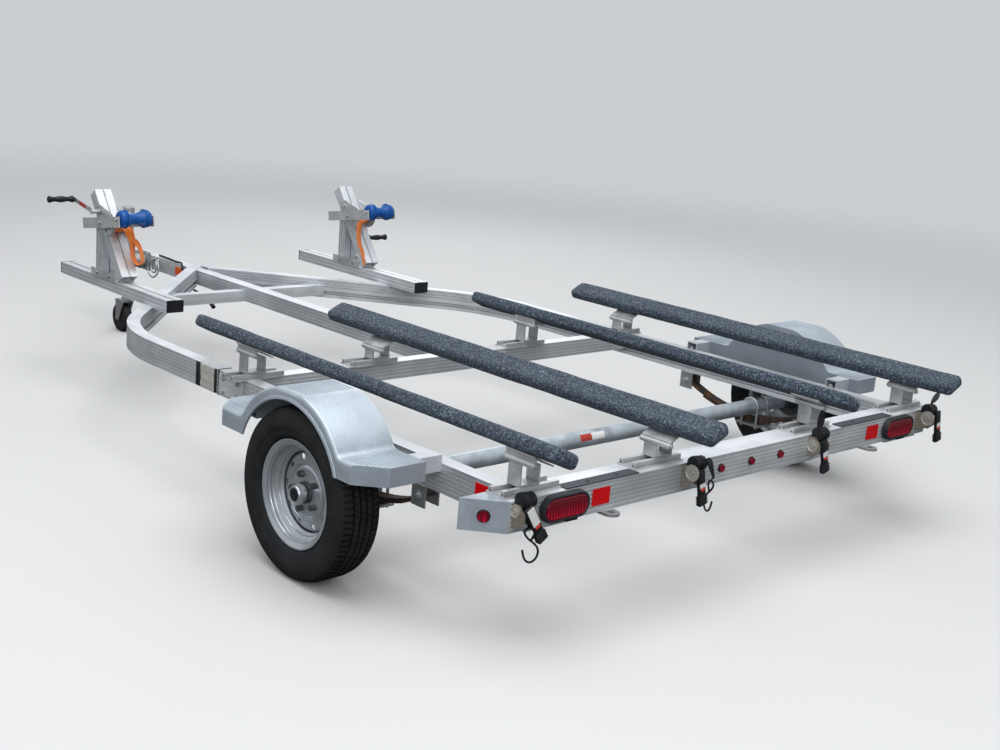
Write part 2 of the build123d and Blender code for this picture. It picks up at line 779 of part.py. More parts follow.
# Roller brackets: bent straps around the posts that hold the bow rollers' pins, spaced off the braces
roller_gap = 5.0
strap_wall = 5.0
strap_height = 46.0
strap_front = 2428.0
strap_rear_reach = 24.0
strap_slope = math.radians(9.0)
strap_drop = 12.0
strap_bolt_radius = 9.0
strap_bolt_ahead = 150.0
strap_spacer_radius = 13.0
pin_head = 7.0
strap_inner_half = roller_length / 2 + roller_gap
strap_outer_half = strap_inner_half + strap_wall
strap_plane = Plane(
    origin=(axle_x + roller_station, craft_centre_y, roller_height - strap_drop),
    x_dir=(math.cos(strap_slope), 0, -math.sin(strap_slope)),
    z_dir=(math.sin(strap_slope), 0, math.cos(strap_slope)),
)
strap_reach = (strap_front - roller_station) / math.cos(strap_slope)
strap_bolt_z = roller_height - strap_drop - strap_bolt_ahead * math.tan(strap_slope)
strap_front_z = roller_height - strap_drop - (strap_front - roller_station) * math.tan(strap_slope)
with BuildPart() as roller_brackets:
    with BuildSketch(strap_plane.offset(-strap_height / 2)):
        with BuildLine():
            Polyline(
                (-strap_rear_reach, -strap_outer_half),
                (strap_reach, -strap_outer_half),
                (strap_reach, strap_outer_half),
                (-strap_rear_reach, strap_outer_half),
                (-strap_rear_reach, strap_inner_half),
                (strap_reach - strap_wall, strap_inner_half),
                (strap_reach - strap_wall, -strap_inner_half),
                (-strap_rear_reach, -strap_inner_half),
                close=True,
            )
        make_face()
    extrude(amount=strap_height)
    with BuildSketch(side_plane(craft_centre_y + strap_outer_half + pin_head)):
        with Locations((axle_x + roller_station, roller_height)):
            Circle(roller_pin_radius)
    extrude(amount=2 * (strap_outer_half + pin_head))
    for bolt_y in (craft_centre_y + strap_outer_half + pin_head, craft_centre_y - strap_inner_half):
        with BuildSketch(side_plane(bolt_y)):
            with Locations((axle_x + roller_station + strap_bolt_ahead, strap_bolt_z)):
                RegularPolygon(strap_bolt_radius, 6)
        extrude(amount=strap_wall + pin_head)
    with BuildSketch(cross_plane(brace_front)):
        with Locations((craft_centre_y, strap_front_z)):
            Circle(strap_spacer_radius)
    extrude(amount=strap_front - strap_wall - brace_front)
    mirror(about=Plane.XZ)
finish("roller_brackets", roller_brackets)

# Bow rollers: moulded spools with two ringed lobes and a waist
ring_width = 5.0
ring_rise = 2.5
ring_inset = 30.0
roller_profile_half = [
    # distance from the middle, radius
    (roller_length / 2, roller_radius - 14.0),
    (roller_length / 2 - 7.0, roller_radius - 3.0),
    (roller_length / 2 - 22.0, roller_radius),
    (roller_length / 2 - 40.0, roller_radius - 5.0),
    (12.0, roller_waist_radius),
]
with BuildPart() as bow_roller_left:
    roller_plane = Plane(
        origin=(axle_x + roller_station, craft_centre_y, roller_height), x_dir=(0, 1, 0), z_dir=(1, 0, 0)
    )
    left_half = [(y, r) for y, r in reversed(roller_profile_half)]
    right_half = [(-y, r) for y, r in roller_profile_half]
    with BuildSketch(roller_plane):
        with BuildLine():
            Spline(*right_half, *left_half)
            Polyline(
                left_half[-1],
                (roller_length / 2, roller_pin_radius + running_clearance),
                (-roller_length / 2, roller_pin_radius + running_clearance),
                right_half[0],
            )
        make_face()
        for ring_y in (roller_length / 2 - ring_inset, ring_inset - roller_length / 2):
            with Locations((ring_y, (roller_radius + ring_rise + roller_waist_radius) / 2)):
                Rectangle(ring_width, roller_radius + ring_rise - roller_waist_radius)
    revolve(axis=Axis((axle_x + roller_station, craft_centre_y, roller_height), (0, 1, 0)))
finish("bow_roller_left", bow_roller_left)

# Winches: two lobed side plates beside each post, a drum, a toothed gear wheel and its pinion
winch_gap = 1.0
winch_plate = 4.0
winch_top_radius = 28.0
winch_low_radius = 52.0
gear_radius = 50.0
gear_teeth = 26
gear_tooth_depth = 7.0
gear_width = 6.0
gear_gap = 2.0
gear_hole_radius = 8.0
gear_hole_circle = 27.0
drum_radius = 20.0
pinion_radius = 13.0
winch_inner = bow_bar_width / 2 + winch_gap
winch_outer = winch_inner + winch_plate
gear_face = winch_outer + gear_gap + gear_width
drum_place = (axle_x + drum_station, roller_height - drum_below_roller)
pinion_place = (axle_x + pinion_station, roller_height + pinion_above_roller)
crank_offset = gear_face + 19.0
with BuildPart() as winches:
    for plate_y in (craft_centre_y + winch_outer, craft_centre_y - winch_inner):
        with BuildSketch(side_plane(plate_y)):
            with Locations(pinion_place):
                Circle(winch_top_radius)
            with Locations(drum_place):
                Circle(winch_low_radius)
            make_hull()
        extrude(amount=winch_plate)
    with BuildSketch(side_plane(craft_centre_y + gear_face + gear_gap)):
        with Locations(drum_place):
            Circle(drum_radius / 2)
    extrude(amount=gear_face + gear_gap + winch_outer)
    with BuildSketch(side_plane(craft_centre_y + winch_inner)):
        with Locations(drum_place):
            Circle(drum_radius)
    extrude(amount=2 * winch_inner)
    with BuildSketch(side_plane(craft_centre_y + gear_face)):
        with Locations(drum_place):
            Circle(gear_radius)
            with PolarLocations(gear_radius, gear_teeth):
                RegularPolygon(gear_tooth_depth / 2, 3, rotation=180.0, mode=Mode.SUBTRACT)
            with PolarLocations(gear_hole_circle, 5):
                Circle(gear_hole_radius, mode=Mode.SUBTRACT)
        with Locations(pinion_place):
            Circle(pinion_radius)
    extrude(amount=gear_width)
    with BuildSketch(side_plane(craft_centre_y + crank_offset)):
        with Locations(pinion_place):
            Circle(shaft_radius)
    extrude(amount=crank_offset - winch_outer)
    mirror(about=Plane.XZ)
finish("winches", winches)

# Winch straps: wound on each drum, led back under the roller, with one end hanging and one drawn down
webbing_half = 22.0
webbing = 3.0
strap_coil_radius = 33.0
strap_fall_ahead = 42.0
strap_rows = (
    # side of the trailer, height of the knee and of the end, how far inboard they are, half width there
    (1, bow_bar_top + 150.0, bow_bar_top + 100.0, 0.0, 20.0),
    (-1, bow_bar_top + 62.0, bow_bar_top + 3.0, bow_bar_width / 2 + 12.0, 9.0),
)
strap_lead_z = drum_place[1] - strap_coil_radius
fall_station = roller_station + strap_fall_ahead
with BuildPart() as winch_straps:
    for side, knee_z, end_z, inboard, end_half in strap_rows:
        stand_y = side * craft_centre_y
        with BuildSketch(side_plane(stand_y + webbing_half)):
            with Locations(drum_place):
                Circle(strap_coil_radius)
                Circle(drum_radius, mode=Mode.SUBTRACT)
            with BuildLine():
                Polyline(
                    (drum_place[0], strap_lead_z),
                    (axle_x + fall_station, strap_lead_z),
                    (axle_x + fall_station, strap_lead_z + webbing),
                    (drum_place[0], strap_lead_z + webbing),
                    close=True,
                )
            make_face()
        extrude(amount=2 * webbing_half)
        end_y = stand_y - side * inboard
        with BuildSketch(cross_plane(fall_station)):
            with BuildLine():
                Polyline(
                    (stand_y - webbing_half, strap_lead_z + webbing),
                    (stand_y + webbing_half, strap_lead_z + webbing),
                    (end_y + end_half, knee_z),
                    (end_y + end_half, end_z),
                    (end_y - end_half, end_z),
                    (end_y - end_half, knee_z),
                    close=True,
                )
            make_face()
        extrude(amount=webbing)
finish("winch_straps", winch_straps)

# Winch cranks: a flat arm beside each winch, turned differently on the two stands, and their grips
crank_width = 20.0
crank_plate = 6.0
crank_nut_radius = 11.0
crank_nut = 8.0
grip_length = 120.0
grip_radius = 13.0
crank_rows = (
    # side of the trailer, angle of the arm above the forward direction, length of the arm
    (1, 9.4, 184.0),
    (-1, 254.0, 165.0),
)


def crank_arm(pivot, y, side, angle, arm_length):
    """A flat arm from its pivot, with the pivot's nut and the pin that the grip turns on."""
    turn = math.radians(angle)
    tip = (pivot[0] + arm_length * math.cos(turn), pivot[1] + arm_length * math.sin(turn))
    with BuildPart() as arm:
        arm_plane = Plane(
            origin=(pivot[0], y, pivot[1]), x_dir=(math.cos(turn), 0, math.sin(turn)), z_dir=(0, -1, 0)
        )
        with BuildSketch(arm_plane):
            with Locations((arm_length / 2, 0)):
                SlotCenterToCenter(arm_length, crank_width)
        extrude(amount=crank_plate / 2, both=True)
        with BuildSketch(Plane(origin=(pivot[0], y, pivot[1]), z_dir=(0, side, 0))):
            RegularPolygon(crank_nut_radius, 6)
        extrude(amount=crank_plate / 2 + crank_nut)
    return arm.part, tip


def crank_grip(tip, y, side):
    """A waisted grip that stands out from the end of a crank's arm."""
    start = y + side * crank_plate / 2
    outline = [
        # along the grip from the arm, radius
        (0.0, grip_radius - 2.0),
        (6.0, grip_radius + 2.0),
        (18.0, grip_radius - 1.0),
        (grip_length / 2, grip_radius + 1.0),
        (grip_length - 18.0, grip_radius - 1.0),
        (grip_length - 5.0, grip_radius + 2.0),
        (grip_length, grip_radius - 3.0),
    ]
    with BuildPart() as grip:
        with BuildSketch(Plane(origin=(tip[0], start, tip[1]), x_dir=(0, side, 0), z_dir=(1, 0, 0))):
            with BuildLine():
                Polyline((grip_length, grip_radius - 3.0), (grip_length, 0.0), (0.0, 0.0), outline[0])
                Spline(*outline)
            make_face()
        revolve(axis=Axis((tip[0], start, tip[1]), (0, 1, 0)))
    return grip.part


arms = [
    crank_arm(pinion_place, side * (craft_centre_y + crank_offset + crank_plate / 2), side, angle, reach)
    for side, angle, reach in crank_rows
]
with BuildPart() as winch_cranks:
    add([arm for arm, _ in arms])
finish("winch_cranks", winch_cranks)

with BuildPart() as crank_grips:
    for (_, tip), (side, *_) in zip(arms, crank_rows):
        add(crank_grip(tip, side * (craft_centre_y + crank_offset + crank_plate / 2), side))
finish("crank_grips", crank_grips)

# Coupler: a channel over the tongue's end and a round nose with the ball socket below
coupler_length = 300.0
coupler_wall = 4.0
socket_radius = 25.7
socket_depth = 34.0
nose_radius = 38.0
coupler_gap = 0.5
coupler_height = 55.0
coupler_overlap = 20.0
latch_half_width = 13.0
ball_station = coupler_front - nose_radius
coupler_rear = coupler_front - coupler_length
with BuildPart() as coupler:
    with BuildSketch(cross_plane(coupler_rear)):
        with Locations((0, tongue_top + coupler_gap + coupler_wall - coupler_height / 2)):
            Rectangle(tongue_width + 2 * (coupler_wall + coupler_gap), coupler_height)
        with Locations((0, tongue_top + coupler_gap - coupler_height / 2)):
            Rectangle(tongue_width + 2 * coupler_gap, coupler_height, mode=Mode.SUBTRACT)
    extrude(amount=tongue_front - coupler_rear + coupler_overlap)
    with BuildSketch(Plane.XY.offset(tongue_top + coupler_gap + coupler_wall - coupler_height)):
        with Locations((axle_x + ball_station, 0)):
            Circle(nose_radius)
        with BuildLine():
            Polyline(
                (axle_x + tongue_front + coupler_overlap - 2.0, tongue_width / 2 + coupler_wall),
                (axle_x + ball_station, nose_radius),
                (axle_x + ball_station, -nose_radius),
                (axle_x + tongue_front + coupler_overlap - 2.0, -tongue_width / 2 - coupler_wall),
                close=True,
            )
        make_face()
    extrude(amount=coupler_height)
    with BuildSketch(Plane.XY.offset(tongue_top + coupler_gap + coupler_wall - coupler_height)):
        with Locations((axle_x + ball_station, 0)):
            Circle(socket_radius)
    extrude(amount=socket_depth, mode=Mode.SUBTRACT)
finish("coupler", coupler)

# Coupler latch: the lifting lever on top of the nose
with BuildPart() as coupler_latch:
    with BuildSketch(side_plane(latch_half_width)):
        with BuildLine():
            latch_z = tongue_top + coupler_gap + coupler_wall
            Polyline(
                (axle_x + ball_station - 92.0, latch_z),
                (axle_x + ball_station - 22.0, latch_z),
                (axle_x + ball_station - 30.0, latch_z + 22.0),
                (axle_x + ball_station - 132.0, latch_z + 34.0),
                (axle_x + ball_station - 134.0, latch_z + 28.0),
                (axle_x + ball_station - 92.0, latch_z + 18.0),
                close=True,
            )
        make_face()
    extrude(amount=2 * latch_half_width)
finish("coupler_latch", coupler_latch)

# Jack: a bracket on the tongue's left side, a swinging outer tube, a sliding leg, and a caster
jack_x = axle_x + jack_station
jack_place = (jack_x, jack_offset_y)
jack_pivot_z = tongue_mid_z
jack_pivot_radius = 34.0
jack_collar = 5.0
jack_bracket_plate = 8.0
jack_bracket_length = 120.0
jack_bracket_margin = 12.0
jack_bracket_face = jack_offset_y - jack_tube_radius - jack_collar - 6.0
with BuildPart() as jack_bracket:
    with BuildSketch(side_plane(tongue_width / 2 + jack_bracket_plate)):
        with Locations((jack_x, jack_pivot_z)):
            Rectangle(jack_bracket_length, tongue_height + 2 * jack_bracket_margin)
    extrude(amount=jack_bracket_plate)
    with BuildSketch(side_plane(jack_bracket_face)):
        with Locations((jack_x, jack_pivot_z)):
            Circle(jack_pivot_radius)
    extrude(amount=jack_bracket_face - tongue_width / 2 - jack_bracket_plate)
finish("jack_bracket", jack_bracket)

jack_cap_radius = jack_tube_radius + 4.0
jack_cap_height = 28.0
jack_cap_edge = 5.0
with BuildPart() as jack_tube:
    with BuildSketch(Plane.XY.offset(jack_tube_bottom)):
        with Locations(jack_place):
            Circle(jack_tube_radius)
    extrude(amount=jack_tube_top - jack_tube_bottom)
    with BuildSketch(Plane.XY.offset(jack_tube_top)):
        with Locations(jack_place):
            Circle(jack_cap_radius)
    extrude(amount=jack_cap_height)
    fillet(jack_tube.faces().sort_by(Axis.Z)[-1].edges(), jack_cap_edge)
    with BuildSketch(side_plane(jack_offset_y)):
        with Locations((jack_x, jack_pivot_z)):
            Circle(jack_pivot_radius)
    extrude(amount=jack_offset_y - jack_bracket_face - running_clearance)
    with BuildSketch(Plane.XY.offset(jack_tube_bottom)):
        with Locations(jack_place):
            Circle(jack_tube_radius - jack_tube_wall)
    extrude(amount=jack_tube_top - jack_tube_bottom, mode=Mode.SUBTRACT)
finish("jack_tube", jack_tube)

# Jack crank: an arm behind the jack's head, on a shaft through the cap
jack_crank_height = jack_tube_top + jack_cap_height / 2
jack_crank_y = jack_offset_y + 73.0
jack_crank_length = 150.0
jack_arm, jack_crank_tip = crank_arm((jack_x, jack_crank_height), jack_crank_y, 1, 180.0, jack_crank_length)
with BuildPart() as jack_crank:
    add(jack_arm)
    with BuildSketch(side_plane(jack_crank_y)):
        with Locations((jack_x, jack_crank_height)):
            Circle(shaft_radius)
    extrude(amount=jack_crank_y - jack_offset_y - jack_cap_radius)
finish("jack_crank", jack_crank)

with BuildPart() as jack_grip:
    add(crank_grip(jack_crank_tip, jack_crank_y, 1))
finish("jack_grip", jack_grip)

jack_leg_bottom = 172.0
jack_leg_top = 495.0
jack_leg_plate = 8.0
fork_stem_radius = 10.0
with BuildPart() as jack_leg:
    with BuildSketch(Plane.XY.offset(jack_leg_bottom)):
        with Locations(jack_place):
            Circle(jack_leg_radius)
            Circle(jack_leg_radius - jack_tube_wall, mode=Mode.SUBTRACT)
    extrude(amount=jack_leg_top - jack_leg_bottom)
    with BuildSketch(Plane.XY.offset(jack_leg_bottom)):
        with Locations(jack_place):
            Circle(jack_leg_radius)
            Circle(fork_stem_radius + running_clearance, mode=Mode.SUBTRACT)
    extrude(amount=jack_leg_plate)
finish("jack_leg", jack_leg)

# Caster: a bent fork that trails its wheel
fork_wall = 5.0
fork_gap = 5.0
fork_side_half = 22.0
fork_foot_half = 16.0
fork_head_gap = 2.0
fork_stem_end = 8.0
pin_overhang = 6.0
fork_half = jack_wheel_width / 2 + fork_gap
fork_top = jack_leg_bottom - fork_head_gap
fork_axle_x = jack_x + jack_trail
jack_pin_radius = 7.0
with BuildPart() as jack_fork:
    with BuildSketch(Plane.XY.offset(fork_top - fork_wall)):
        with Locations(((jack_x + fork_axle_x) / 2, jack_offset_y)):
            Rectangle(jack_trail + 2 * fork_side_half, 2 * (fork_half + fork_wall))
    extrude(amount=fork_wall)
    with BuildSketch(Plane.XY.offset(fork_top)):
        with Locations(jack_place):
            Circle(fork_stem_radius)
    extrude(amount=jack_leg_plate + fork_stem_end)
    for plate_y in (jack_offset_y + fork_half + fork_wall, jack_offset_y - fork_half):
        with BuildSketch(side_plane(plate_y)):
            with BuildLine():
                fork_foot = CenterArc((fork_axle_x, jack_wheel_radius), fork_foot_half, 180, 180)
                Polyline(
                    fork_foot @ 0,
                    (jack_x - fork_side_half, fork_top),
                    (fork_axle_x + fork_side_half, fork_top),
                    fork_foot @ 1,
                )
            make_face()
        extrude(amount=fork_wall)
    with BuildSketch(side_plane(jack_offset_y + fork_half + fork_wall + pin_overhang)):
        with Locations((fork_axle_x, jack_wheel_radius)):
            Circle(jack_pin_radius)
    extrude(amount=2 * (fork_half + fork_wall + pin_overhang))
finish("jack_fork", jack_fork)

wheel_edge_radius = 9.0
with BuildPart() as jack_wheel:
    with BuildSketch(side_plane(jack_offset_y + jack_wheel_width / 2)):
        with Locations((fork_axle_x, jack_wheel_radius)):
            Circle(jack_wheel_radius)
            Circle(jack_pin_radius + running_clearance, mode=Mode.SUBTRACT)
    extrude(amount=jack_wheel_width)
    rims = jack_wheel.edges().filter_by(GeomType.CIRCLE).sort_by(SortBy.RADIUS)[-2:]
    fillet(rims, wheel_edge_radius)
finish("jack_wheel", jack_wheel)

# Wheels: tyre, pressed steel wheel and hub, turning about the spindle
wheel_plane = Plane(origin=(axle_x, wheel_centre_y, tyre_radius), x_dir=(0, 1, 0), z_dir=(1, 0, 0))
wheel_axis = Axis((axle_x, wheel_centre_y, tyre_radius), (0, 1, 0))
bead_y = rim_width / 2 - 5.0
bead_width = 13.0
tread_flat_half = 30.0
tread_drop = 4.0
tread_thickness = 14.0
tyre_widest_radius = 214.0
with BuildPart() as tyre_left:
    with BuildSketch(wheel_plane):
        with BuildLine():
            Polyline(
                (-tread_half_width, tyre_radius - tread_drop),
                (-tread_flat_half, tyre_radius),
                (tread_flat_half, tyre_radius),
                (tread_half_width, tyre_radius - tread_drop),
            )
            ThreePointArc(
                (tread_half_width, tyre_radius - tread_drop),
                (tyre_width / 2, tyre_widest_radius),
                (bead_y, rim_flange_radius + 3.0),
            )
            Polyline(
                (bead_y, rim_flange_radius + 3.0),
                (bead_y, tyre_bead_radius),
                (bead_y - bead_width, tyre_bead_radius),
            )
            ThreePointArc(
                (bead_y - bead_width, tyre_bead_radius),
                (0.0, tyre_radius - tread_thickness),
                (bead_width - bead_y, tyre_bead_radius),
            )
            Polyline(
                (bead_width - bead_y, tyre_bead_radius),
                (-bead_y, tyre_bead_radius),
                (-bead_y, rim_flange_radius + 3.0),
            )
            ThreePointArc(
                (-bead_y, rim_flange_radius + 3.0),
                (-tyre_width / 2, tyre_widest_radius),
                (-tread_half_width, tyre_radius - tread_drop),
            )
        make_face()
    revolve(axis=wheel_axis)
finish("tyre_left", tyre_left)

bead_seat_radius = tyre_bead_radius
rim_half = rim_width / 2
rim_points = [
    # distance from the wheel's middle plane, outer radius of the rim's sheet
    (-rim_half, rim_flange_radius),
    (-rim_half + 5.0, bead_seat_radius),
    (-rim_half + 24.0, bead_seat_radius),
    (-rim_half + 27.0, bead_seat_radius - 4.0),
    (-rim_half + 38.0, rim_well_radius),
    (rim_half - 50.0, rim_well_radius),
    (rim_half - 42.0, rim_well_radius + 8.0),
    (rim_half - 36.0, rim_well_radius + 9.0),
    (rim_half - 28.0, bead_seat_radius - 4.0),
    (rim_half - 24.0, bead_seat_radius),
    (rim_half - 5.0, bead_seat_radius),
    (rim_half, rim_flange_radius),
]
disc_y = rim_half - disc_inset
disc_points = [
    # distance from the middle plane, radius, out along the face of the pressed disc
    (disc_y - 18.0, rim_well_radius - rim_wall),
    (disc_y - 4.0, rim_well_radius - rim_wall - 3.0),
    (disc_y, rim_well_radius - rim_wall - 9.0),
    (disc_y, hat_radius + 14.0),
    (disc_y + hat_rise, hat_radius),
    (disc_y + hat_rise, hub_bore_radius),
]
with BuildPart() as wheel_rim_left:
    with BuildSketch(wheel_plane):
        with BuildLine():
            inside = [(y, r - rim_wall) for y, r in reversed(rim_points)]
            Polyline(*rim_points, *inside, close=True)
        make_face()
        with BuildLine():
            back = [(y - disc_wall, r) for y, r in reversed(disc_points)]
            Polyline(*disc_points, *back, close=True)
        make_face()
    revolve(axis=wheel_axis)
    with BuildSketch(side_plane(wheel_centre_y + rim_half)):
        with Locations((axle_x, tyre_radius)):
            with PolarLocations(lug_circle_radius, 5):
                Circle(lug_hole_radius)
            with PolarLocations(vent_circle_radius, 10):
                Circle(vent_hole_radius)
    extrude(amount=rim_width, mode=Mode.SUBTRACT)
finish("wheel_rim_left", wheel_rim_left)

hub_flange_radius = hat_radius - 4.0
hub_flange_y = disc_y + hat_rise - disc_wall
hub_flange_thickness = 10.0
hub_barrel_radius = hub_bore_radius - 1.0
hub_cap_radius = 27.0
hub_cap_end = rim_half - 3.0
hub_back = -66.0
stud_radius = 6.0
stud_reach = 27.0
nut_radius = 10.5
nut_height = 17.0
with BuildPart() as hub_left:
    with BuildSketch(wheel_plane):
        with BuildLine():
            Polyline(
                (hub_back, 0.0),
                (hub_back, hub_barrel_radius + 6.0),
                (hub_flange_y - hub_flange_thickness, hub_barrel_radius + 6.0),
                (hub_flange_y - hub_flange_thickness, hub_flange_radius),
                (hub_flange_y, hub_flange_radius),
                (hub_flange_y, hub_barrel_radius),
                (disc_y + hat_rise + 10.0, hub_barrel_radius),
                (disc_y + hat_rise + 10.0, hub_cap_radius),
                (hub_cap_end - 4.0, hub_cap_radius),
                (hub_cap_end, hub_cap_radius - 4.0),
                (hub_cap_end, 0.0),
                close=True,
            )
        make_face()
    revolve(axis=wheel_axis)
    with BuildSketch(side_plane(wheel_centre_y + disc_y + stud_reach)):
        with Locations((axle_x, tyre_radius)):
            with PolarLocations(lug_circle_radius, 5):
                Circle(stud_radius)
    extrude(amount=stud_reach - hat_rise + disc_wall)
    with BuildSketch(side_plane(wheel_centre_y + disc_y + hat_rise + nut_height)):
        with Locations((axle_x, tyre_radius)):
            with PolarLocations(lug_circle_radius, 5):
                RegularPolygon(nut_radius, 6)
    extrude(amount=nut_height)
    with BuildSketch(side_plane(spindle_end_y + 6.0)):
        with Locations((axle_x, tyre_radius)):
            Circle(spindle_radius + running_clearance)
    extrude(amount=spindle_end_y + 6.0 - wheel_centre_y - hub_back + 1.0, mode=Mode.SUBTRACT)
finish("hub_left", hub_left)

# Tail lamps: oval lenses in soft mounts, standing out of the rear cross member's face
lamp_y = 857.0
lamp_z = 377.0
lamp_length = 165.0
lamp_height = 60.0
lamp_mount_wall = 9.0
rear_plane = Plane(origin=(axle_x + rear_face, 0, 0), x_dir=(0, -1, 0), z_dir=(-1, 0, 0))
with BuildPart() as lamp_mounts:
    with BuildSketch(rear_plane):
        with Locations((lamp_y, lamp_z), (-lamp_y, lamp_z)):
            SlotOverall(lamp_length + 2 * lamp_mount_wall, lamp_height + 2 * lamp_mount_wall)
    extrude(amount=16.0)
    with BuildSketch(rear_plane.offset(4.0)):
        with Locations((lamp_y, lamp_z), (-lamp_y, lamp_z)):
            SlotOverall(lamp_length, lamp_height)
    extrude(amount=12.0, mode=Mode.SUBTRACT)
finish("lamp_mounts", lamp_mounts)

with BuildPart() as tail_lamps:
    with BuildSketch(rear_plane.offset(4.0)):
        with Locations((lamp_y, lamp_z), (-lamp_y, lamp_z)):
            SlotOverall(lamp_length, lamp_height)
    extrude(amount=18.0)
    fillet(tail_lamps.faces().sort_by(Axis.X)[:2].edges(), 5.0)
finish("tail_lamps", tail_lamps)

# Marker lamps: three small round lamps in the middle, and one on each corner box
marker_spacing = 155.0
marker_radius = 11.0
corner_face = Plane(
    origin=(
        axle_x + (rear_face + cross_rear_front_face) / 2,
        cross_rear_half_length + corner_box_out / 2,
        frame_top - rail_height / 2,
    ),
    x_dir=(cross_rear_depth, corner_box_out, 0),
    z_dir=(-corner_box_out, cross_rear_depth, 0),
)
with BuildPart() as marker_lamps:
    with BuildSketch(rear_plane):
        with Locations((-marker_spacing, lamp_z), (0, lamp_z), (marker_spacing, lamp_z)):
            Circle(marker_radius)
    extrude(amount=9.0)
    with BuildSketch(corner_face):
        Circle(marker_radius + 4.0)
    extrude(amount=8.0)
    mirror(about=Plane.XZ)
finish("marker_lamps", marker_lamps)

# Reflectors: two on the rear face, one at the back of each rail, one on each side of the tongue
reflector_thickness = 2.0
reflector_y = 702.0
reflector_length = 72.0
reflector_height = 50.0
tongue_reflector_length = 62.0
tongue_reflector_height = 40.0
side_reflector_ahead = 69.0
tongue_reflector_station = 2830.0
with BuildPart() as reflectors:
    with BuildSketch(rear_plane):
        with Locations((reflector_y, lamp_z), (-reflector_y, lamp_z)):
            Rectangle(reflector_length, reflector_height)
    extrude(amount=reflector_thickness)
    with BuildSketch(side_plane(rail_outer_y + reflector_thickness)):
        with Locations((axle_x + cross_rear_front_face + side_reflector_ahead, rail_mid_z + 8.0)):
            Rectangle(reflector_length, reflector_height)
    extrude(amount=reflector_thickness)
    with BuildSketch(side_plane(tongue_width / 2 + reflector_thickness)):
        with Locations((axle_x + tongue_reflector_station, tongue_mid_z)):
            Rectangle(tongue_reflector_length, tongue_reflector_height)
    extrude(amount=reflector_thickness)
    mirror(about=Plane.XZ)
finish("reflectors", reflectors)

# Lamp guards: rubber strips on the top edge of the rear cross member, above the lamps
guard_width = 40.0
guard_thickness = 4.0
guard_rows = ((845.0, 545.0), (-820.0, -505.0))
with BuildPart() as lamp_guards:
    for guard_left, guard_right in guard_rows:
        with BuildSketch(Plane.XY.offset(frame_top)):
            with Locations((axle_x + rear_face + guard_width / 2, (guard_left + guard_right) / 2)):
                Rectangle(guard_width, guard_left - guard_right)
        extrude(amount=guard_thickness)
finish("lamp_guards", lamp_guards)

# Tie-down reels: strap reels on the rear face, two for each craft, each between two side plates
reel_rows = (1024.0, 320.0, -340.0, -1020.0)
reel_width = 46.0
reel_plate = 4.0
reel_drop = 4.0
reel_height = 66.0
reel_core_radius = 22.0
reel_core_z = frame_top - reel_drop - reel_height / 2
reel_hook_gap = 2.0
with BuildPart() as tie_down_reels:
    for reel_y in reel_rows:
        with BuildSketch(side_plane(reel_y + reel_width / 2)):
            with Locations((axle_x + rear_face - tail_reach + reel_core_radius + reel_plate, reel_core_z)):
                Circle(reel_core_radius)
            with Locations((axle_x + rear_face - tail_reach / 4, reel_core_z)):
                Rectangle(tail_reach / 2, 2 * reel_core_radius)
        extrude(amount=reel_width)
finish("tie_down_reels", tie_down_reels)

with BuildPart() as reel_plates:
    for reel_y in reel_rows:
        for plate_y in (reel_y + reel_width / 2 + reel_plate, reel_y - reel_width / 2):
            with BuildSketch(side_plane(plate_y)):
                with BuildLine():
                    Polyline(
                        (axle_x + rear_face, frame_top - reel_drop),
                        (axle_x + rear_face - tail_reach / 2, frame_top - reel_drop),
                        (axle_x + rear_face - tail_reach, reel_core_z + reel_core_radius / 2),
                        (axle_x + rear_face - tail_reach, reel_core_z - reel_core_radius / 2),
                        (axle_x + rear_face - tail_reach / 2, frame_top - reel_drop - reel_height),
                        (axle_x + rear_face, frame_top - reel_drop - reel_height),
                        close=True,
                    )
                make_face()
            extrude(amount=reel_plate)
finish("reel_plates", reel_plates)

# Tie-down hooks: bent wire hooks that hang from the two left-hand reels
hook_wire_radius = 3.5
hook_bend_radius = 14.0
hook_drop = 46.0
hook_tip = 16.0
hook_x = axle_x + rear_face - tail_reach + reel_core_radius + reel_plate
hook_top_z = reel_core_z - reel_core_radius - reel_hook_gap
with BuildPart() as tie_down_hooks:
    for reel_y in reel_rows[:2]:
        with BuildLine(cross_plane(hook_x - axle_x)) as hook_path:
            Line((reel_y, hook_top_z), (reel_y, hook_top_z - hook_drop))
            bend_centre = (reel_y - hook_bend_radius, hook_top_z - hook_drop)
            bend_arc = CenterArc(bend_centre, hook_bend_radius, 0, -180)
            Line(bend_arc @ 1, bend_arc @ 1 + Vector(0, 0, hook_tip))
        with BuildSketch(Plane(origin=(hook_x, reel_y, hook_top_z))):
            Circle(hook_wire_radius)
        sweep(path=hook_path.line)
finish("tie_down_hooks", tie_down_hooks)

# Tie rings: flat eyes under the rear cross member
ring_y = 672.0
ring_hole_radius = 11.0
ring_thickness = 8.0
ring_eye_width = 52.0
ring_length = 106.0
ring_overhang = 44.0
with BuildPart() as tie_rings:
    with BuildSketch(Plane.XY.offset(frame_top - rail_height - ring_thickness)):
        with Locations((axle_x + rear_face - ring_overhang + ring_length / 2, ring_y)):
            SlotOverall(ring_length, ring_eye_width)
        with Locations((axle_x + rear_face - ring_overhang + ring_eye_width / 2, ring_y)):
            Circle(ring_hole_radius, mode=Mode.SUBTRACT)
    extrude(amount=ring_thickness)
    mirror(about=Plane.XZ)
finish("tie_rings", tie_rings)

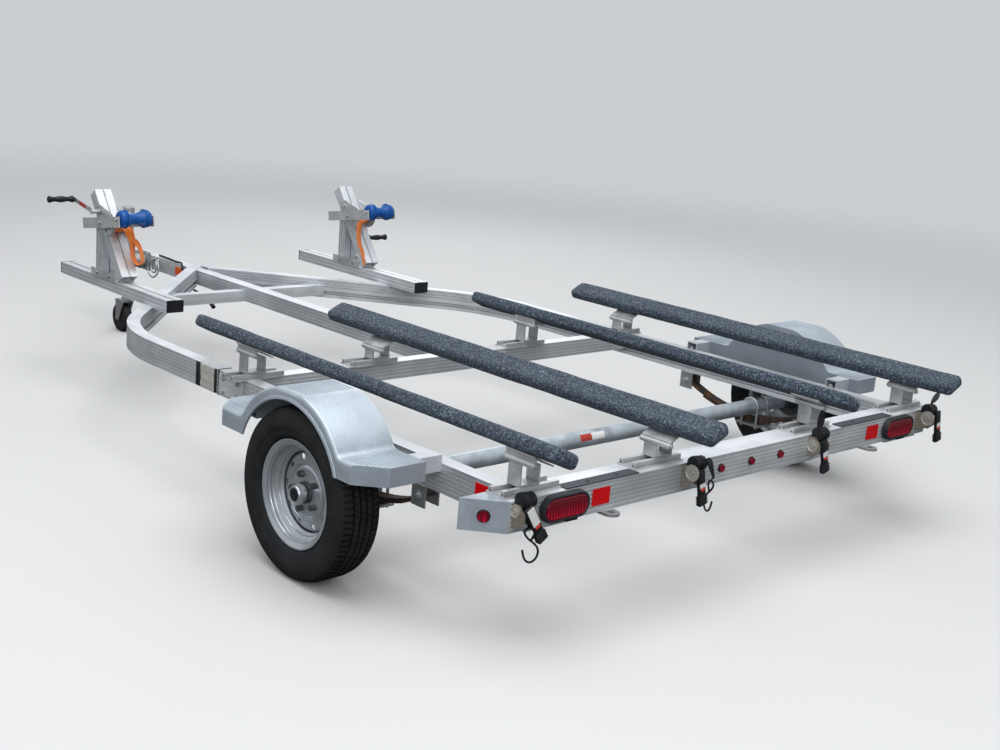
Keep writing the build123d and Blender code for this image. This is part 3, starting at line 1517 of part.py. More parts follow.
# Harness: the lamps' cable along the tongue, clipped to its top and side, with a plug at its end
cable_radius = 5.0
plug_radius = 10.0
plug_length = 46.0
cable_side_y = tongue_width / 2 + cable_radius
cable_top_z = tongue_top + cable_radius + 1.0
cable_route = [
    # station, distance to the left, height
    (3060.0, cable_side_y - 27.0, cable_top_z),
    (2950.0, cable_side_y - 21.0, cable_top_z),
    (2850.0, cable_side_y - 13.0, cable_top_z + 1.0),
    (2804.0, cable_side_y - 6.0, cable_top_z + 3.0),
    (2782.0, cable_side_y + 4.0, tongue_top + 2.0),
    (2768.0, cable_side_y + 4.0, tongue_mid_z),
    (2746.0, cable_side_y + 3.0, tongue_top - tongue_height - 4.0),
    (2700.0, cable_side_y + 2.0, frame_top - rail_height - 14.0),
    (2620.0, cable_side_y + 1.0, frame_top - rail_height - 24.0),
    (2520.0, cable_side_y + 1.0, frame_top - rail_height - 48.0),
]
with BuildPart() as harness:
    with BuildLine():
        cable = Spline(*[(axle_x + x, y, z) for x, y, z in cable_route])
    with BuildSketch(Plane(origin=cable @ 0, z_dir=cable % 0)):
        Circle(cable_radius)
    sweep(path=cable)
    with BuildSketch(Plane(origin=cable @ 1, z_dir=cable % 1)):
        Circle(plug_radius)
    extrude(amount=plug_length)
finish("harness", harness)

# The right-hand pieces are the left-hand ones mirrored across the middle of the trailer
for base_name in ("rail", "fender", "bow_roller", "tyre", "wheel_rim", "hub"):
    with BuildPart() as right_piece:
        mirror(pieces[f"{base_name}_left"], about=Plane.XZ)
    finish(f"{base_name}_right", right_piece)
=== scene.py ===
import math
import bpy
from mathutils import Matrix, Vector


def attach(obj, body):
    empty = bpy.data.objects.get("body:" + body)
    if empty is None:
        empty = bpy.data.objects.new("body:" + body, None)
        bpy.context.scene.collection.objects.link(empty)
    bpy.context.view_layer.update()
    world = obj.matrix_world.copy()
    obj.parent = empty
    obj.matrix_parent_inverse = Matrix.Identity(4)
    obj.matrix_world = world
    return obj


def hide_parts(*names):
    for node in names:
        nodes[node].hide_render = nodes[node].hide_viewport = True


# Looks for a road trailer for two small watercraft. Metres, +X forward, +Y left, +Z up.
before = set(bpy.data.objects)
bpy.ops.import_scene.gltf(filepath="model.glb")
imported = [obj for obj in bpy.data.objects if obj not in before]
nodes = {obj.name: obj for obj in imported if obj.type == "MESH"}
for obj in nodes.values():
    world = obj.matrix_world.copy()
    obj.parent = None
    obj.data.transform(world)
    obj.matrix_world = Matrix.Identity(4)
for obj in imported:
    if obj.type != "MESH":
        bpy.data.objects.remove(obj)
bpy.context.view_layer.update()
axleX = -1.422
print("frame loaded:", len(nodes), "nodes")


unstretched = (1.0, 1.0, 1.0)


class Shade:
    # a shader socket that can be added and multiplied
    def __init__(self, tree, socket=None):
        self.tree = tree
        self.socket = socket

    def node(self, kind, settings=None, inputs=None, output=0):
        made = self.tree.nodes.new(kind)
        for name, value in (settings or {}).items():
            if name == "stops":
                stops = made.color_ramp.elements
                stops[0].position, stops[0].color = value[0]
                stops[-1].position, stops[-1].color = value[-1]
                for place, colour in value[1:-1]:
                    stops.new(place).color = colour
            else:
                setattr(made, name, value)
        for name, value in (inputs or {}).items():
            if isinstance(value, Shade):
                self.tree.links.new(value.socket, made.inputs[name])
            else:
                made.inputs[name].default_value = value
        return Shade(self.tree, made.outputs[output])

    def maths(self, operation, first, second=0.0):
        return self.node("ShaderNodeMath", {"operation": operation}, {0: first, 1: second})

    def __add__(self, other):
        return self.maths("ADD", self, other)

    __radd__ = __add__

    def __sub__(self, other):
        return self.maths("SUBTRACT", self, other)

    def __rsub__(self, other):
        return self.maths("SUBTRACT", other, self)

    def __mul__(self, other):
        return self.maths("MULTIPLY", self, other)

    __rmul__ = __mul__

    def __pow__(self, other):
        return self.maths("POWER", self, other)

    def __gt__(self, other):
        return self.maths("GREATER_THAN", self, other)

    def ramp(self, low, high):
        kind = {"interpolation_type": "SMOOTHSTEP"}
        return self.node("ShaderNodeMapRange", kind, {0: self, 1: low, 2: high})

    def noise(self, place, scale, detail=4.0, stretch=unstretched, rough=0.55):
        if stretch != unstretched:
            place = self.node("ShaderNodeMapping", {}, {"Vector": place, "Scale": stretch})
        values = {"Vector": place, "Scale": scale, "Detail": detail, "Roughness": rough}
        return self.node("ShaderNodeTexNoise", {}, values)

    def mixed(self, factor, first, second, blend="MIX"):
        kind = {"data_type": "RGBA", "blend_type": blend}
        return self.node("ShaderNodeMix", kind, {0: factor, 6: first, 7: second}, 2)

    def bump(self, height, strength, distance):
        return self.node("ShaderNodeBump", {}, {"Strength": strength, "Distance": distance, "Height": height})

    def axes(self, place):
        split = self.node("ShaderNodeSeparateXYZ", {}, {0: place})
        whole = split.socket.node
        return [Shade(self.tree, whole.outputs[axis]) for axis in range(3)]


def newFinish(name, **fixed):
    material = bpy.data.materials.new(name)
    material.use_nodes = True
    shader = material.node_tree.nodes["Principled BSDF"]
    for socket, value in fixed.items():
        shader.inputs[socket.replace("_", " ")].default_value = value
    tools = Shade(material.node_tree)
    place = tools.node("ShaderNodeTexCoord", output="Object")
    return material, shader, tools, place


def masks(tools, place, look, *names):
    # a noise for each name, ramped where the finish gives it a ramp
    made = []
    for name in names:
        noise = tools.noise(place, *look[name])
        made.append(noise.ramp(*look[f"{name}Ramp"]) if f"{name}Ramp" in look else noise)
    return made


def wire(shader, **links):
    for socket, value in links.items():
        value.tree.links.new(value.socket, shader.inputs[socket.replace("_", " ")])


def tinted(level, tint):
    return tuple(min(1.0, level * part) for part in tint) + (1.0,)


def grey(level, warmth=0.0):
    return (level * (1.0 + warmth), level, level * (1.0 - warmth), 1.0)


# Finishes. A noise has its scale and detail, a ramp its two ends, a bump its strength and depth.
def crevices(tools, reach):
    # how open a spot is: 1 on plain faces, less down in a groove; finishes darken their colour by it as
    # painted shade
    settings = {"samples": 6, "only_local": True}
    return tools.node("ShaderNodeAmbientOcclusion", settings, {"Distance": reach}, "AO")


alloyLook = {
    "metal": 0.55, "tone": 0.78, "grain": (26.0, 6.0), "grainRough": 0.6, "cloud": (5.0, 5.0),
    "stain": (38.0, 3.0), "stainRamp": (0.64, 0.74), "dullRamp": (0.34, 0.66), "cloudShare": 0.6,
    "grainShare": 0.4, "stainShare": 0.18, "reach": 0.009, "reachPower": 1.6,
    # share of the tone and warmth: shaded, lit, stained, and painted shade down in a flute
    "greys": ((0.86, -0.055), (1.10, -0.030), (0.5, 0.03), (0.16, -0.01)),
    "roughness": 0.42, "dullRoughens": 0.16, "stainRoughens": 0.1, "bump": (0.12, 0.0012),
}


def alloyFinish(name, stretch):
    # extruded aluminium: fine lines along its length, clouded by weather, and painted shade grey down in its
    # flutes
    look = alloyLook
    material, shader, tools, place = newFinish(name, Metallic=look["metal"])
    grain = tools.noise(place, *look["grain"], stretch, look["grainRough"])
    cloud, stain = masks(tools, place, look, "cloud", "stain")
    dull = (cloud * look["cloudShare"] + grain * look["grainShare"]).ramp(*look["dullRamp"])
    # painted shade: the flutes turn dark grey where they are less open
    openness = crevices(tools, look["reach"]) ** look["reachPower"]
    shaded, lit, stained, groove = (grey(look["tone"] * part, warmth) for part, warmth in look["greys"])
    worn = tools.mixed(stain * look["stainShare"], tools.mixed(dull, shaded, lit), stained)
    wire(shader, Base_Color=tools.mixed(openness, groove, worn),
         Roughness=look["roughness"] + dull * look["dullRoughens"] + stain * look["stainRoughens"],
         Normal=tools.bump(grain + cloud * look["cloudShare"], *look["bump"]))
    return material


alongX = (0.03, 1.0, 1.0)
alongY = (1.0, 0.03, 1.0)
railAlloy = alloyFinish("railAlloy", alongX)
crossAlloy = alloyFinish("crossAlloy", alongY)

zincLook = {
    "metal": 0.72, "bloom": (14.0, 6.0), "bloomRamp": (0.35, 0.72), "speck": (70.0, 4.0),
    # the corners' dark grey is painted shade, given as its share of the tone and its warmth
    "speckRamp": (0.64, 0.74), "reach": 0.012, "shaded": 0.78, "lit": 1.12, "cornerShade": (0.35, 0.04),
    "brown": (0.16, 0.085, 0.04, 1.0), "rustShare": 0.14, "roughness": 0.34, "bloomRoughens": 0.22,
    "spangleRoughens": 0.06, "spangleRise": 0.3, "bump": (0.1, 0.001),
}


def zincFinish(name, tone, spangle, rust=0.0, tint=(0.985, 1.0, 1.015)):
    # galvanised steel: faint spangles, a dull bloom, and painted shade, a little brown, in the corners
    look = zincLook
    material, shader, tools, place = newFinish(name, Metallic=look["metal"])
    cells = tools.node("ShaderNodeTexVoronoi", {}, {"Vector": place, "Scale": spangle}, "Color")
    level = tools.node("ShaderNodeRGBToBW", {}, {0: cells})
    bloom, speck = masks(tools, place, look, "bloom", "speck")
    shaded, lit = (tinted(tone * look[part], tint) for part in ("shaded", "lit"))
    plain = tools.mixed(level * 0.5 + bloom * 0.5, shaded, lit)
    # painted shade: the corners turn a dark warm grey where they are less open
    share, warmth = look["cornerShade"]
    cornerShaded = tools.mixed(crevices(tools, look["reach"]), grey(tone * share, warmth), plain)
    wire(shader, Base_Color=tools.mixed(speck * (look["rustShare"] + rust), cornerShaded, look["brown"]),
         Roughness=look["roughness"] + bloom * look["bloomRoughens"] + level * look["spangleRoughens"],
         Normal=tools.bump(level * look["spangleRise"] + bloom, *look["bump"]))
    return material


zinc = zincFinish("zinc", 0.50, 120.0)
brightZinc = zincFinish("brightZinc", 0.64, 260.0)
# hubs: a very dark zinc finish with more rust specks
darkRustySteel = zincFinish("darkRustySteel", 0.16, 90.0, 0.3)
brassZinc = zincFinish("brassZinc", 0.44, 220.0, tint=(1.0, 0.89, 0.72))
ratchetZinc = zincFinish("ratchetZinc", 0.74, 260.0, tint=(1.0, 0.97, 0.86))
axlePaint = zincFinish("axlePaint", 0.66, 40.0, tint=(0.90, 1.0, 1.08))

# leaf springs: black steel, rusted in patches
look = {
    "rust": (30.0, 7.0), "rustRamp": (0.42, 0.66), "black": (0.035, 0.032, 0.03, 1.0),
    "brown": (0.15, 0.068, 0.03, 1.0), "roughness": 0.55, "rustRoughens": 0.3, "scale": (160.0,),
    "bump": (0.3, 0.001),
}
springSteel, shader, tools, place = newFinish("springSteel", Metallic=0.35)
rust, scale = masks(tools, place, look, "rust", "scale")
wire(shader, Base_Color=tools.mixed(rust, look["black"], look["brown"]),
     Roughness=look["roughness"] + rust * look["rustRoughens"], Normal=tools.bump(scale, *look["bump"]))

# fenders: satin aluminium sheet with soft clouding and faint handling marks
look = {
    "cloud": (7.0, 5.0), "rolled": (90.0, 4.0, (0.05, 1.0, 1.0)), "dust": (55.0, 5.0),
    "dustRamp": (0.55, 0.75), "toneRamp": (0.33, 0.68), "cloudShare": 0.7, "rolledShare": 0.3,
    "shaded": (0.40, 0.46, 0.52, 1.0), "lit": (0.52, 0.585, 0.645, 1.0), "dusty": (0.40, 0.40, 0.39, 1.0),
    "dustShare": 0.2, "dustRise": 0.3, "roughness": 0.36, "roughens": 0.12, "bump": (0.08, 0.0008),
}
fenderSheet, shader, tools, place = newFinish("fenderSheet", Metallic=0.5)
cloud, rolled, dust = masks(tools, place, look, "cloud", "rolled", "dust")
tone = (cloud * look["cloudShare"] + rolled * look["rolledShare"]).ramp(*look["toneRamp"])
satin = tools.mixed(tone, look["shaded"], look["lit"])
wire(shader, Base_Color=tools.mixed(dust * look["dustShare"], satin, look["dusty"]),
     Roughness=look["roughness"] + tone * look["roughens"] + dust * look["roughens"],
     Normal=tools.bump(rolled + dust * look["dustRise"], *look["bump"]))

# wheels: silver paint over pressed steel, with painted shade dark down in the corners
look = {
    "film": (24.0, 6.0), "filmRamp": (0.35, 0.7), "grit": (240.0, 3.0), "gritRamp": (0.66, 0.74),
    "reach": 0.030, "corner": 0.10, "bright": (0.66, (0.93, 1.0, 1.06)), "filmed": (0.48, (0.95, 1.0, 1.04)),
    "filmShare": 0.6, "gritShare": 0.2, "roughness": 0.28, "filmRoughens": 0.12, "filmRise": 0.5,
    "peel": (380.0,), "bump": (0.08, 0.0008),
}
wheelPaint, shader, tools, place = newFinish(
    "wheelPaint", Metallic=0.72, Coat_Weight=0.3, Coat_Roughness=0.15,
)
film, grit, peel = masks(tools, place, look, "film", "grit", "peel")
covered = film * look["filmShare"] + grit * look["gritShare"]
silver = tools.mixed(covered, tinted(*look["bright"]), tinted(*look["filmed"]))
# painted shade: the corners turn dark grey where they are less open
wire(shader, Base_Color=tools.mixed(crevices(tools, look["reach"]), grey(look["corner"]), silver),
     Roughness=look["roughness"] + film * look["filmRoughens"],
     Normal=tools.bump(film * look["filmRise"] + peel, *look["bump"]))

# tyres: dry black rubber with road dust, and painted shade down in the grooves
look = {
    "haze": (16.0, 6.0), "hazeRamp": (0.34, 0.72), "fine": (300.0, 3.0), "reach": 0.012, "reachPower": 1.4,
    "black": (0.011, 0.013, 0.015, 1.0), "dusty": (0.034, 0.036, 0.039, 1.0),
    "groove": (0.003, 0.003, 0.003, 1.0), "hazeShare": 0.6, "fineShare": 0.2, "roughness": 0.68,
    "hazeRoughens": 0.2, "bump": (0.25, 0.0006),
}
tyreRubber, shader, tools, place = newFinish("tyreRubber", Specular_IOR_Level=0.22)
haze, fine = masks(tools, place, look, "haze", "fine")
# painted shade: the grooves turn near black where they are less open
openness = crevices(tools, look["reach"]) ** look["reachPower"]
dusty = tools.mixed(haze * look["hazeShare"] + fine * look["fineShare"], look["black"], look["dusty"])
wire(shader, Base_Color=tools.mixed(openness, look["groove"], dusty),
     Roughness=look["roughness"] + haze * look["hazeRoughens"], Normal=tools.bump(fine, *look["bump"]))

plasticLook = {
    "wear": (30.0, 5.0), "wearRamp": (0.4, 0.75), "pores": (420.0, 2.0), "wearShare": 0.5, "poreShare": 0.2,
    "paler": 0.012, "wearRoughens": 0.14, "depth": 0.0006,
}


def plasticFinish(name, colour, roughness, grainStrength=0.15, lift=1.5):
    # moulded plastic or rubber with a faint grain and some grey wear
    look = plasticLook
    material, shader, tools, place = newFinish(name, Specular_IOR_Level=0.35)
    wear, pores = masks(tools, place, look, "wear", "pores")
    worn = tuple(min(1.0, part * lift + look["paler"]) for part in colour)
    patchy = wear * look["wearShare"] + pores * look["poreShare"]
    wire(shader, Base_Color=tools.mixed(patchy, colour + (1.0,), worn + (1.0,)),
         Roughness=roughness + wear * look["wearRoughens"],
         Normal=tools.bump(pores, grainStrength, look["depth"]))
    return material


blackPlastic = plasticFinish("blackPlastic", (0.006, 0.007, 0.009), 0.40)
softRubber = plasticFinish("softRubber", (0.018, 0.021, 0.026), 0.55, 0.3)
guardRubber = plasticFinish("guardRubber", (0.040, 0.045, 0.055), 0.6, 0.5)
rollerBlue = plasticFinish("rollerBlue", (0.001, 0.077, 0.315), 0.26, 0.1, 1.15)
casterRubber = plasticFinish("casterRubber", (0.010, 0.011, 0.013), 0.6, 0.3)
tagWhite = plasticFinish("tagWhite", (0.84, 0.84, 0.83), 0.5, 0.1, 0.9)
releaseRed = plasticFinish("releaseRed", (0.62, 0.045, 0.020), 0.4, 0.1, 1.2)
labelRed = plasticFinish("labelRed", (0.46, 0.040, 0.030), 0.45, 0.05, 1.5)
# a pale see-through sleeve is kept solid, a little waxy
sleeveWax = plasticFinish("sleeveWax", (0.50, 0.50, 0.46), 0.35, 0.1, 1.1)

# carpet: short pile in blue-grey, flecked light and dark
look = {
    "pile": (520.0, 3.0, unstretched, 0.7), "fleck": (140.0, 3.0, unstretched, 0.8),
    "fleckRamp": (0.50, 0.60), "dark": (119.0, 3.0, unstretched, 0.8), "darkRamp": (0.48, 0.40),
    "patch": (7.0, 4.0), "patchRamp": (0.35, 0.7), "patchShare": 0.4, "pileShare": 0.5,
    "blue": (0.026, 0.046, 0.074, 1.0), "paleBlue": (0.060, 0.090, 0.130, 1.0), "fleckShare": 0.75,
    "fleckTone": (0.265, 0.335, 0.410, 1.0), "darkShare": 0.85, "darkTone": (0.008, 0.013, 0.024, 1.0),
    "roughness": 0.88, "pileRoughens": 0.1,
    # how far pile and flecks stand out, and dark spots sink
    "rise": 0.6, "sink": 0.4, "bump": (0.9, 0.0040),
}
bunkCarpet, shader, tools, place = newFinish(
    "bunkCarpet", Specular_IOR_Level=0.10, Sheen_Weight=0.2, Sheen_Roughness=0.5,
)
pile, fleck, dark, patch = masks(tools, place, look, "pile", "fleck", "dark", "patch")
patchy = patch * look["patchShare"] + pile * look["pileShare"]
carpetBase = tools.mixed(patchy, look["blue"], look["paleBlue"])
flecked = tools.mixed(fleck * look["fleckShare"], carpetBase, look["fleckTone"])
wire(shader, Base_Color=tools.mixed(dark * look["darkShare"], flecked, look["darkTone"]),
     Roughness=look["roughness"] + pile * look["pileRoughens"],
     Normal=tools.bump(pile * look["rise"] + fleck * look["rise"] - dark * look["sink"], *look["bump"]))

# webbing: close weave across the strap, faded here and there
look = {
    "across": 0.0022, "lengthwise": 0.00308, "colour": (0.95, 0.240, 0.025, 1.0),
    "shadow": (0.72, 0.130, 0.013, 1.0), "slope": 0.8, "fade": (40.0, 4.0), "fadeRamp": (0.35, 0.7),
    "weaveShare": 0.22, "fadeShare": 0.35, "roughness": 0.72, "fadeRoughens": 0.1, "bump": (0.5, 0.0008),
}
strapWebbing, shader, tools, place = newFinish("strapWebbing", Specular_IOR_Level=0.25, Sheen_Weight=0.2)
x, y, z = tools.axes(place)
across = tools.maths("SINE", y * (2 * math.pi / look["across"]))
weave = across * tools.maths("SINE", (z + x * look["slope"]) * (2 * math.pi / look["lengthwise"]))
faded = masks(tools, place, look, "fade")[0]
shaded = weave * look["weaveShare"] + faded * look["fadeShare"]
wire(shader, Base_Color=tools.mixed(shaded, look["colour"], look["shadow"]),
     Roughness=look["roughness"] + faded * look["fadeRoughens"], Normal=tools.bump(weave, *look["bump"]))

# lamp lenses: deep clear red with upright flutes; a painted reflection makes them brighter low down where the
# points sit
look = {
    "flute": 0.0112, "lensReflectionRamp": (0.392, 0.352), "deep": (0.15, 0.0010, 0.010, 1.0),
    "bright": (0.72, 0.0040, 0.045, 1.0), "bump": (0.3, 0.0008),
}
lampLens, shader, tools, place = newFinish(
    "lampLens", Roughness=0.14, Specular_IOR_Level=0.35, Coat_Weight=0.1,
)
x, y, z = tools.axes(place)
flute = tools.maths("SINE", y * (2 * math.pi / look["flute"]))
# painted reflection: brighter low down and along the flutes
lensReflection = z.ramp(*look["lensReflectionRamp"]) * (flute * 0.5 + 0.5)
wire(shader, Base_Color=tools.mixed(lensReflection, look["deep"], look["bright"]),
     Normal=tools.bump(flute, *look["bump"]))

# reflectors: fine crossed prisms, amber on the tongue and red behind
look = {
    "prism": 0.0040, "amberFrom": 0.6, "bump": (0.2, 0.0005),
    "bright": ((0.80, 0.0015, 0.0050, 1.0), (0.90, 0.150, 0.010, 1.0)),
    "deep": ((0.58, 0.0010, 0.0030, 1.0), (0.70, 0.080, 0.005, 1.0)),
}
reflectorRed, shader, tools, place = newFinish(
    "reflectorRed", Roughness=0.2, Specular_IOR_Level=0.3, Coat_Weight=0.08,
)
x, y, z = tools.axes(place)
perPrism = 2 * math.pi / look["prism"]
prisms = tools.maths("SINE", (y + x) * perPrism) * tools.maths("SINE", z * perPrism)
onTongue = x > look["amberFrom"]
deep, bright = (tools.mixed(onTongue, *look[part]) for part in ("deep", "bright"))
wire(shader, Base_Color=tools.mixed(prisms * 0.5 + 0.5, deep, bright),
     Normal=tools.bump(prisms, *look["bump"]))

finishes = {
    railAlloy: ("rail_left", "rail_right", "tongue", "bow_bars", "bow_posts", "splice_plates"),
    crossAlloy: ("crossmember_rear", "crossmember_front", "crossmember_nose", "fender_brackets",
                 "bow_braces"),
    fenderSheet: ("fender_left", "fender_right", "corner_boxes"),
    axlePaint: ("axle",),
    zinc: ("spring_hangers", "spring_clamps", "corner_plates", "jack_bracket", "jack_tube", "jack_leg",
           "jack_fork", "coupler", "tie_rings"),
    brassZinc: ("reel_plates",),
    brightZinc: ("bunk_brackets", "winches", "winch_cranks", "roller_brackets", "bow_foot_plates",
                 "jack_crank", "coupler_latch"),
    springSteel: ("leaf_springs",),
    wheelPaint: ("wheel_rim_left", "wheel_rim_right"),
    darkRustySteel: ("hub_left", "hub_right"),
    tyreRubber: ("tyre_left", "tyre_right"),
    rollerBlue: ("bow_roller_left", "bow_roller_right"),
    strapWebbing: ("winch_straps",),
    bunkCarpet: ("bunk_outer_left", "bunk_inner_left", "bunk_inner_right", "bunk_outer_right"),
    blackPlastic: ("bow_bar_caps", "crank_grips", "jack_grip", "tie_down_reels", "tie_down_hooks", "harness"),
    softRubber: ("bump_stops", "lamp_mounts"),
    guardRubber: ("lamp_guards",),
    casterRubber: ("jack_wheel",),
    lampLens: ("tail_lamps", "marker_lamps"),
    reflectorRed: ("reflectors",),
}
for material, names in finishes.items():
    for name in names:
        nodes[name].data.materials.clear()
        nodes[name].data.materials.append(material)
missing = set(nodes) - {name for names in finishes.values() for name in names}
print("finishes set; nodes without one:", sorted(missing))


# small helpers for modelling
def clearSelection():
    if bpy.context.object and bpy.context.object.mode != "OBJECT":
        bpy.ops.object.mode_set(mode="OBJECT")
    bpy.ops.object.select_all(action="DESELECT")


def takePiece(piece):
    clearSelection()
    piece.select_set(True)
    bpy.context.view_layer.objects.active = piece


def editAll(piece):
    # edit mode with every corner selected
    takePiece(piece)
    bpy.ops.object.mode_set(mode="EDIT")
    bpy.ops.mesh.select_mode(type="VERT")
    bpy.ops.mesh.select_all(action="SELECT")


def leaveEdit():
    bpy.ops.object.mode_set(mode="OBJECT")


def applyPlace(piece):
    takePiece(piece)
    bpy.ops.object.transform_apply(location=True, rotation=True, scale=True)


def pick(piece, kind, test):
    # selects the faces, edges or corners that pass a test on their place (and normal), in edit mode
    bpy.ops.object.mode_set(mode="EDIT")
    bpy.ops.mesh.select_mode(type={"faces": "FACE", "edges": "EDGE", "corners": "VERT"}[kind])
    bpy.ops.mesh.select_all(action="DESELECT")
    bpy.ops.object.mode_set(mode="OBJECT")
    mesh = piece.data
    if kind == "faces":
        for face in mesh.polygons:
            face.select = test(face.center, face.normal)
    elif kind == "edges":
        for edge in mesh.edges:
            ends = [mesh.vertices[index].co for index in edge.vertices]
            edge.select = test(*ends)
    else:
        for corner in mesh.vertices:
            corner.select = test(corner.co)
    bpy.ops.object.mode_set(mode="EDIT")


def settle(piece, name, body, material, smooth):
    applyPlace(piece)
    piece.name = name
    piece.data.name = name
    piece.data.materials.clear()
    piece.data.materials.append(material)
    if smooth:
        bpy.ops.object.shade_smooth_by_angle(angle=math.radians(smooth))
    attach(piece, body)


def applyAll(piece):
    takePiece(piece)
    for modifier in list(piece.modifiers):
        bpy.ops.object.modifier_apply(modifier=modifier.name)


def thicken(piece, thickness, offset=-1.0):
    wall = piece.modifiers.new("wall", "SOLIDIFY")
    wall.thickness = thickness
    wall.offset = offset
    applyAll(piece)


def copyTo(piece, matrix):
    other = piece.copy()
    other.data = piece.data.copy()
    bpy.context.collection.objects.link(other)
    other.matrix_world = matrix @ piece.matrix_world
    return other


def joined(pieces):
    clearSelection()
    for piece in pieces:
        piece.select_set(True)
    bpy.context.view_layer.objects.active = pieces[0]
    bpy.ops.object.join()
    return bpy.context.object


def mirrored(piece, name):
    applyPlace(piece)
    other = copyTo(piece, Matrix.Identity(4))
    editAll(other)
    bpy.ops.transform.mirror(constraint_axis=(False, True, False), center_override=(0, 0, 0))
    bpy.ops.mesh.normals_make_consistent(inside=False)
    leaveEdit()
    other.name = name
    return other


def facing(way):
    # the turn that takes straight up to a way
    return Vector(way).to_track_quat("Z", "Y").to_matrix().to_4x4()


def makeCylinder(sides, radius, depth, place, tipped=0.0):
    clearSelection()
    bpy.ops.mesh.primitive_cylinder_add(vertices=sides, radius=radius, depth=depth, location=place,
                                        rotation=(math.radians(tipped), 0, 0))
    piece = bpy.context.object
    applyPlace(piece)
    return piece


def makeBox(place, size):
    clearSelection()
    bpy.ops.mesh.primitive_cube_add(size=1.0, location=place, scale=size)
    piece = bpy.context.object
    applyPlace(piece)
    return piece


def roundedBox(place, size, edge, turn=0.0, lean=0.0, segments=2):
    # a box with softened edges, leaned to one side and tipped back
    piece = makeBox((0, 0, 0), size)
    editAll(piece)
    bpy.ops.mesh.bevel(offset=edge, segments=segments, affect="EDGES")
    leaveEdit()
    turned = Matrix.Rotation(math.radians(turn), 4, "X") @ Matrix.Rotation(math.radians(lean), 4, "Y")
    piece.matrix_world = Matrix.Translation(place) @ turned
    applyPlace(piece)
    return piece


def drawChain(points):
    # one corner drawn out through the points, as the start of a profile
    clearSelection()
    bpy.ops.mesh.primitive_plane_add(size=0.01, location=points[0])
    piece = bpy.context.object
    applyPlace(piece)
    editAll(piece)
    bpy.ops.mesh.merge(type="CENTER")
    for before, after in zip(points, points[1:]):
        step = Vector(after) - Vector(before)
        bpy.ops.mesh.extrude_region_move(TRANSFORM_OT_translate={"value": step})
    leaveEdit()
    return piece


def pullOut(piece, step):
    # the whole drawn line pulled sideways into a strip
    editAll(piece)
    bpy.ops.mesh.extrude_region_move(TRANSFORM_OT_translate={"value": step})
    leaveEdit()


def spinWhole(piece, centre, axis, steps):
    editAll(piece)
    bpy.ops.mesh.spin(steps=steps, angle=2 * math.pi, center=centre, axis=axis)
    bpy.ops.mesh.select_all(action="SELECT")
    bpy.ops.mesh.remove_doubles(threshold=0.00005)
    bpy.ops.mesh.normals_make_consistent(inside=False)
    leaveEdit()


# how close counts as on the same plane, and as the same place
near, touching = 0.001, 0.0001

# tyres: a drawn section spun about the axle, with grooves and shoulder cuts
tyreSizes = {
    "centre": (axleX, 1.211, 0.266), "radius": 0.266, "steps": 168, "shoulder": 0.055, "shoulderDrop": 0.0045,
    "crownDrop": 0.0022, "grooves": (-0.033, -0.011, 0.011, 0.033), "grooveHalf": 0.0032, "grooveFoot": 0.55,
    "grooveDepth": 0.0065,
    # distance from the middle plane and radius, from the shoulder down to the bead
    "wall": (
        (0.0625, 0.2575), (0.0665, 0.2520), (0.0680, 0.2475), (0.0712, 0.2400), (0.0735, 0.2260),
        (0.0738, 0.2140), (0.0725, 0.2020), (0.0718, 0.2000), (0.0700, 0.1990), (0.0680, 0.1900),
        (0.0655, 0.1830), (0.0650, 0.1800), (0.0610, 0.1745), (0.0560, 0.1715), (0.0530, 0.1690),
        (0.0530, 0.1535), (0.0410, 0.1535),
    ),
    "inside": ((0.030, 0.2100), (0.0, 0.2480), (-0.030, 0.2100)),
    "cutAbove": 0.2535, "cutFrom": 0.044, "cutTo": 0.0635, "cutEdge": 0.0008, "cutDepth": 0.0045,
    "sipeAbove": 0.2630, "sipeWithin": 0.040, "sipeRow": 0.010, "sipeLevel": 0.05, "sipe": 0.0034,
    "sipeDepth": 0.0032,
}


def tyreSection(sizes):
    edge = (sizes["shoulder"], sizes["radius"] - sizes["shoulderDrop"])
    tread = [(-edge[0], edge[1])]
    half, foot = sizes["grooveHalf"], sizes["grooveHalf"] * sizes["grooveFoot"]
    for middle in sizes["grooves"]:
        top = sizes["radius"] - sizes["crownDrop"] * (abs(middle) / sizes["shoulder"]) ** 2
        low = top - sizes["grooveDepth"]
        tread += [(middle - half, top), (middle - foot, low), (middle + foot, low), (middle + half, top)]
    right = [(-y, r) for y, r in reversed(sizes["wall"])]
    return [*tread, edge, *sizes["wall"], *sizes["inside"], *right, tread[0]]


tyreCentre = Vector(tyreSizes["centre"])
tyre = drawChain([(tyreCentre.x, tyreCentre.y + y, tyreCentre.z + r) for y, r in tyreSection(tyreSizes)])
spinWhole(tyre, tyreCentre, (0, 1, 0), tyreSizes["steps"])


def treadPlace(centre):
    # a face's step round the tyre (a thousand more, so that none is negative), radius and distance aside
    out = centre - tyreCentre
    step = int(math.atan2(out.z, out.x) / (2 * math.pi) * tyreSizes["steps"] + 1000)
    return step, math.hypot(out.x, out.z), abs(out.y)


def inCut(centre, normal):
    step, radius, aside = treadPlace(centre)
    onShoulder = radius > tyreSizes["cutAbove"] and tyreSizes["cutFrom"] < aside < tyreSizes["cutTo"]
    return onShoulder and step % 2 == 0


def inSipe(centre, normal):
    step, radius, aside = treadPlace(centre)
    onTop = radius > tyreSizes["sipeAbove"] and normal.y ** 2 < tyreSizes["sipeLevel"]
    return onTop and aside < tyreSizes["sipeWithin"] and (step + int(aside > tyreSizes["sipeRow"])) % 2 == 0


